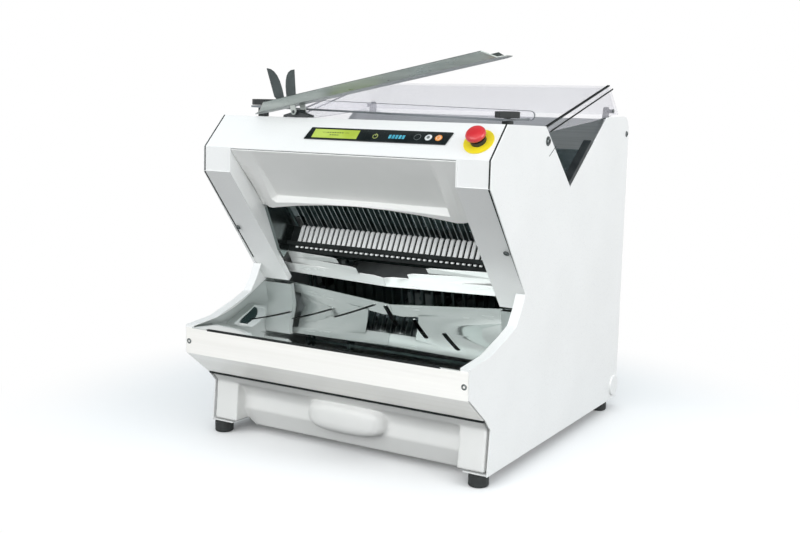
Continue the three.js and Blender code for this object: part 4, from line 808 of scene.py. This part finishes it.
def make_window_marks():
    """Rows of marks: how many, the first one's middle, their spacing and width, and their lower edge."""
    narrow, wide, tall = 1.0, 3.4, 2.2
    rows = ((3, -52.5, 3.1, narrow, 47.9), (7, -42.0, 5.6, wide, 47.9), (3, -1.0, 3.1, narrow, 47.9),
            (4, -34.3, 5.6, wide, 41.9))
    number = 0
    for count, first, spacing, width, low in rows:
        for i in range(count):
            number += 1
            left = first + i * spacing - width / 2
            corners = (left, low, 2.3), (left + width, low + tall, 2.55)
            chip(f"screen_mark_{number}", *corners, screen_mark, "lcd", edge=0.1)


make_window_marks()
flat_ring("power_ring", 67.3, 43.6, outer=5.7, inner=4.4, out=2.8, finish=key_green)
chip("power_ring_gap", (65.9, 46.6, 2.6), (68.7, 50.4, 3.05), display_black)
chip("power_bar", (66.7, 44.4, 2.7), (67.9, 51.0, 3.15), key_green, None)
for i in range(5):
    left = 96.5 + i * 7.3
    chip(f"level_bar_{i + 1}", (left, 39.6, 2.6), (left + 5.1, 49.0, 3.0), lamp_cyan, None, edge=0.6)
flat_ring("key_plain_rim", 157.2, 46.0, outer=7.2, inner=6.3, out=2.8, finish=key_grey)
dial("key_pale", 180.2, 46.0, [(7.2, 2.6), (7.2, 3.0), (6.6, 3.3)], key_white)
dial("key_pale_middle", 180.2, 46.0, [(3.4, 3.1), (3.4, 3.45), (3.0, 3.6)], key_grey)
dial("key_orange", 201.5, 46.0, [(7.2, 2.6), (7.2, 3.0), (6.6, 3.3)], key_orange)
flat_ring("key_orange_rim", 201.5, 46.0, outer=4.6, inner=3.8, out=3.4, finish=key_white)


# The stop button's smooth mushroom head and its neck

stop_head_rings = [(8, 11), (8, 15.6), (16.5, 15.8), (18.6, 17.2), (19.0, 19.4), (18.7, 21.6), (17.6, 23.8),
                   (15.8, 25.5), (13.0, 26.8), (9.4, 27.6), (5.2, 27.95), (2.0, 28.0)]
stop_head = turned("stop_head", stop_head_rings, sides=48, blend=50)
stop_neck = turned("stop_neck", [(9.4, 9.8), (11.2, 9.8), (11.2, 12.8), (9.4, 13.4)])
for piece in (stop_head, stop_neck):
    put_on_chamfer(piece, 283.3, 42.8)
settle(stop_head, "stop", "red_plastic", None, ("stop_button",))
settle(stop_neck, "stop", "black_plastic")


# Dark edges of the clear sheets

def shelf_edge(centre, normal):
    """The shelf's front edge, its side edges, and the top of its turned-up rear edge."""
    front_edge, rear_edge = -0.2025, -0.0885
    broad_face = abs(normal.z) > 0.9 and centre.y < rear_edge
    return centre.y < front_edge or (abs(normal.y) < 0.3 and not broad_face)


def lid_edge(centre, normal):
    """Narrow faces at the lid's sides, and those that face forwards or back, clear of the hinges."""
    hinges, side_part = 0.28, 0.2
    narrow = abs(centre.x) > side_part or abs(normal.y) > 0.9
    return centre.y < hinges and abs(normal.x) < 0.3 and narrow


settle(rim_of("shelf_rim", "clear_shelf", shelf_edge, 1.2 * mm), "housing", "clear_acrylic", acrylic_edge)
settle(rim_of("lid_rim", "lid_cover", lid_edge, 0.5 * mm), "lid", "clear_acrylic", acrylic_edge)
lid_line, low_line = profile((311, 633), (641, 716.4)), profile((326, 624), (660, 709.5))
side_strips("lid_strip_", lid_line, near=0.3120, far=0.3175, thick=0.0026, body="lid")
side_strips("lid_low_strip_", low_line, near=0.3176, far=0.3185, thick=0.0032, body="lid")


# The moulded drawer front: the solid's shape with its corners and the grip run together softly

drawer_front = merged_copy("drawer_front", "drawer_fascia")
apply_modifier(drawer_front, "REMESH", mode="VOXEL", voxel_size=2.4 * mm)
apply_modifier(drawer_front, "SMOOTH", factor=0.5, iterations=9)
smooth(drawer_front, 60)
settle(drawer_front, "drawer", "white_moulding", None, ("drawer_fascia",))
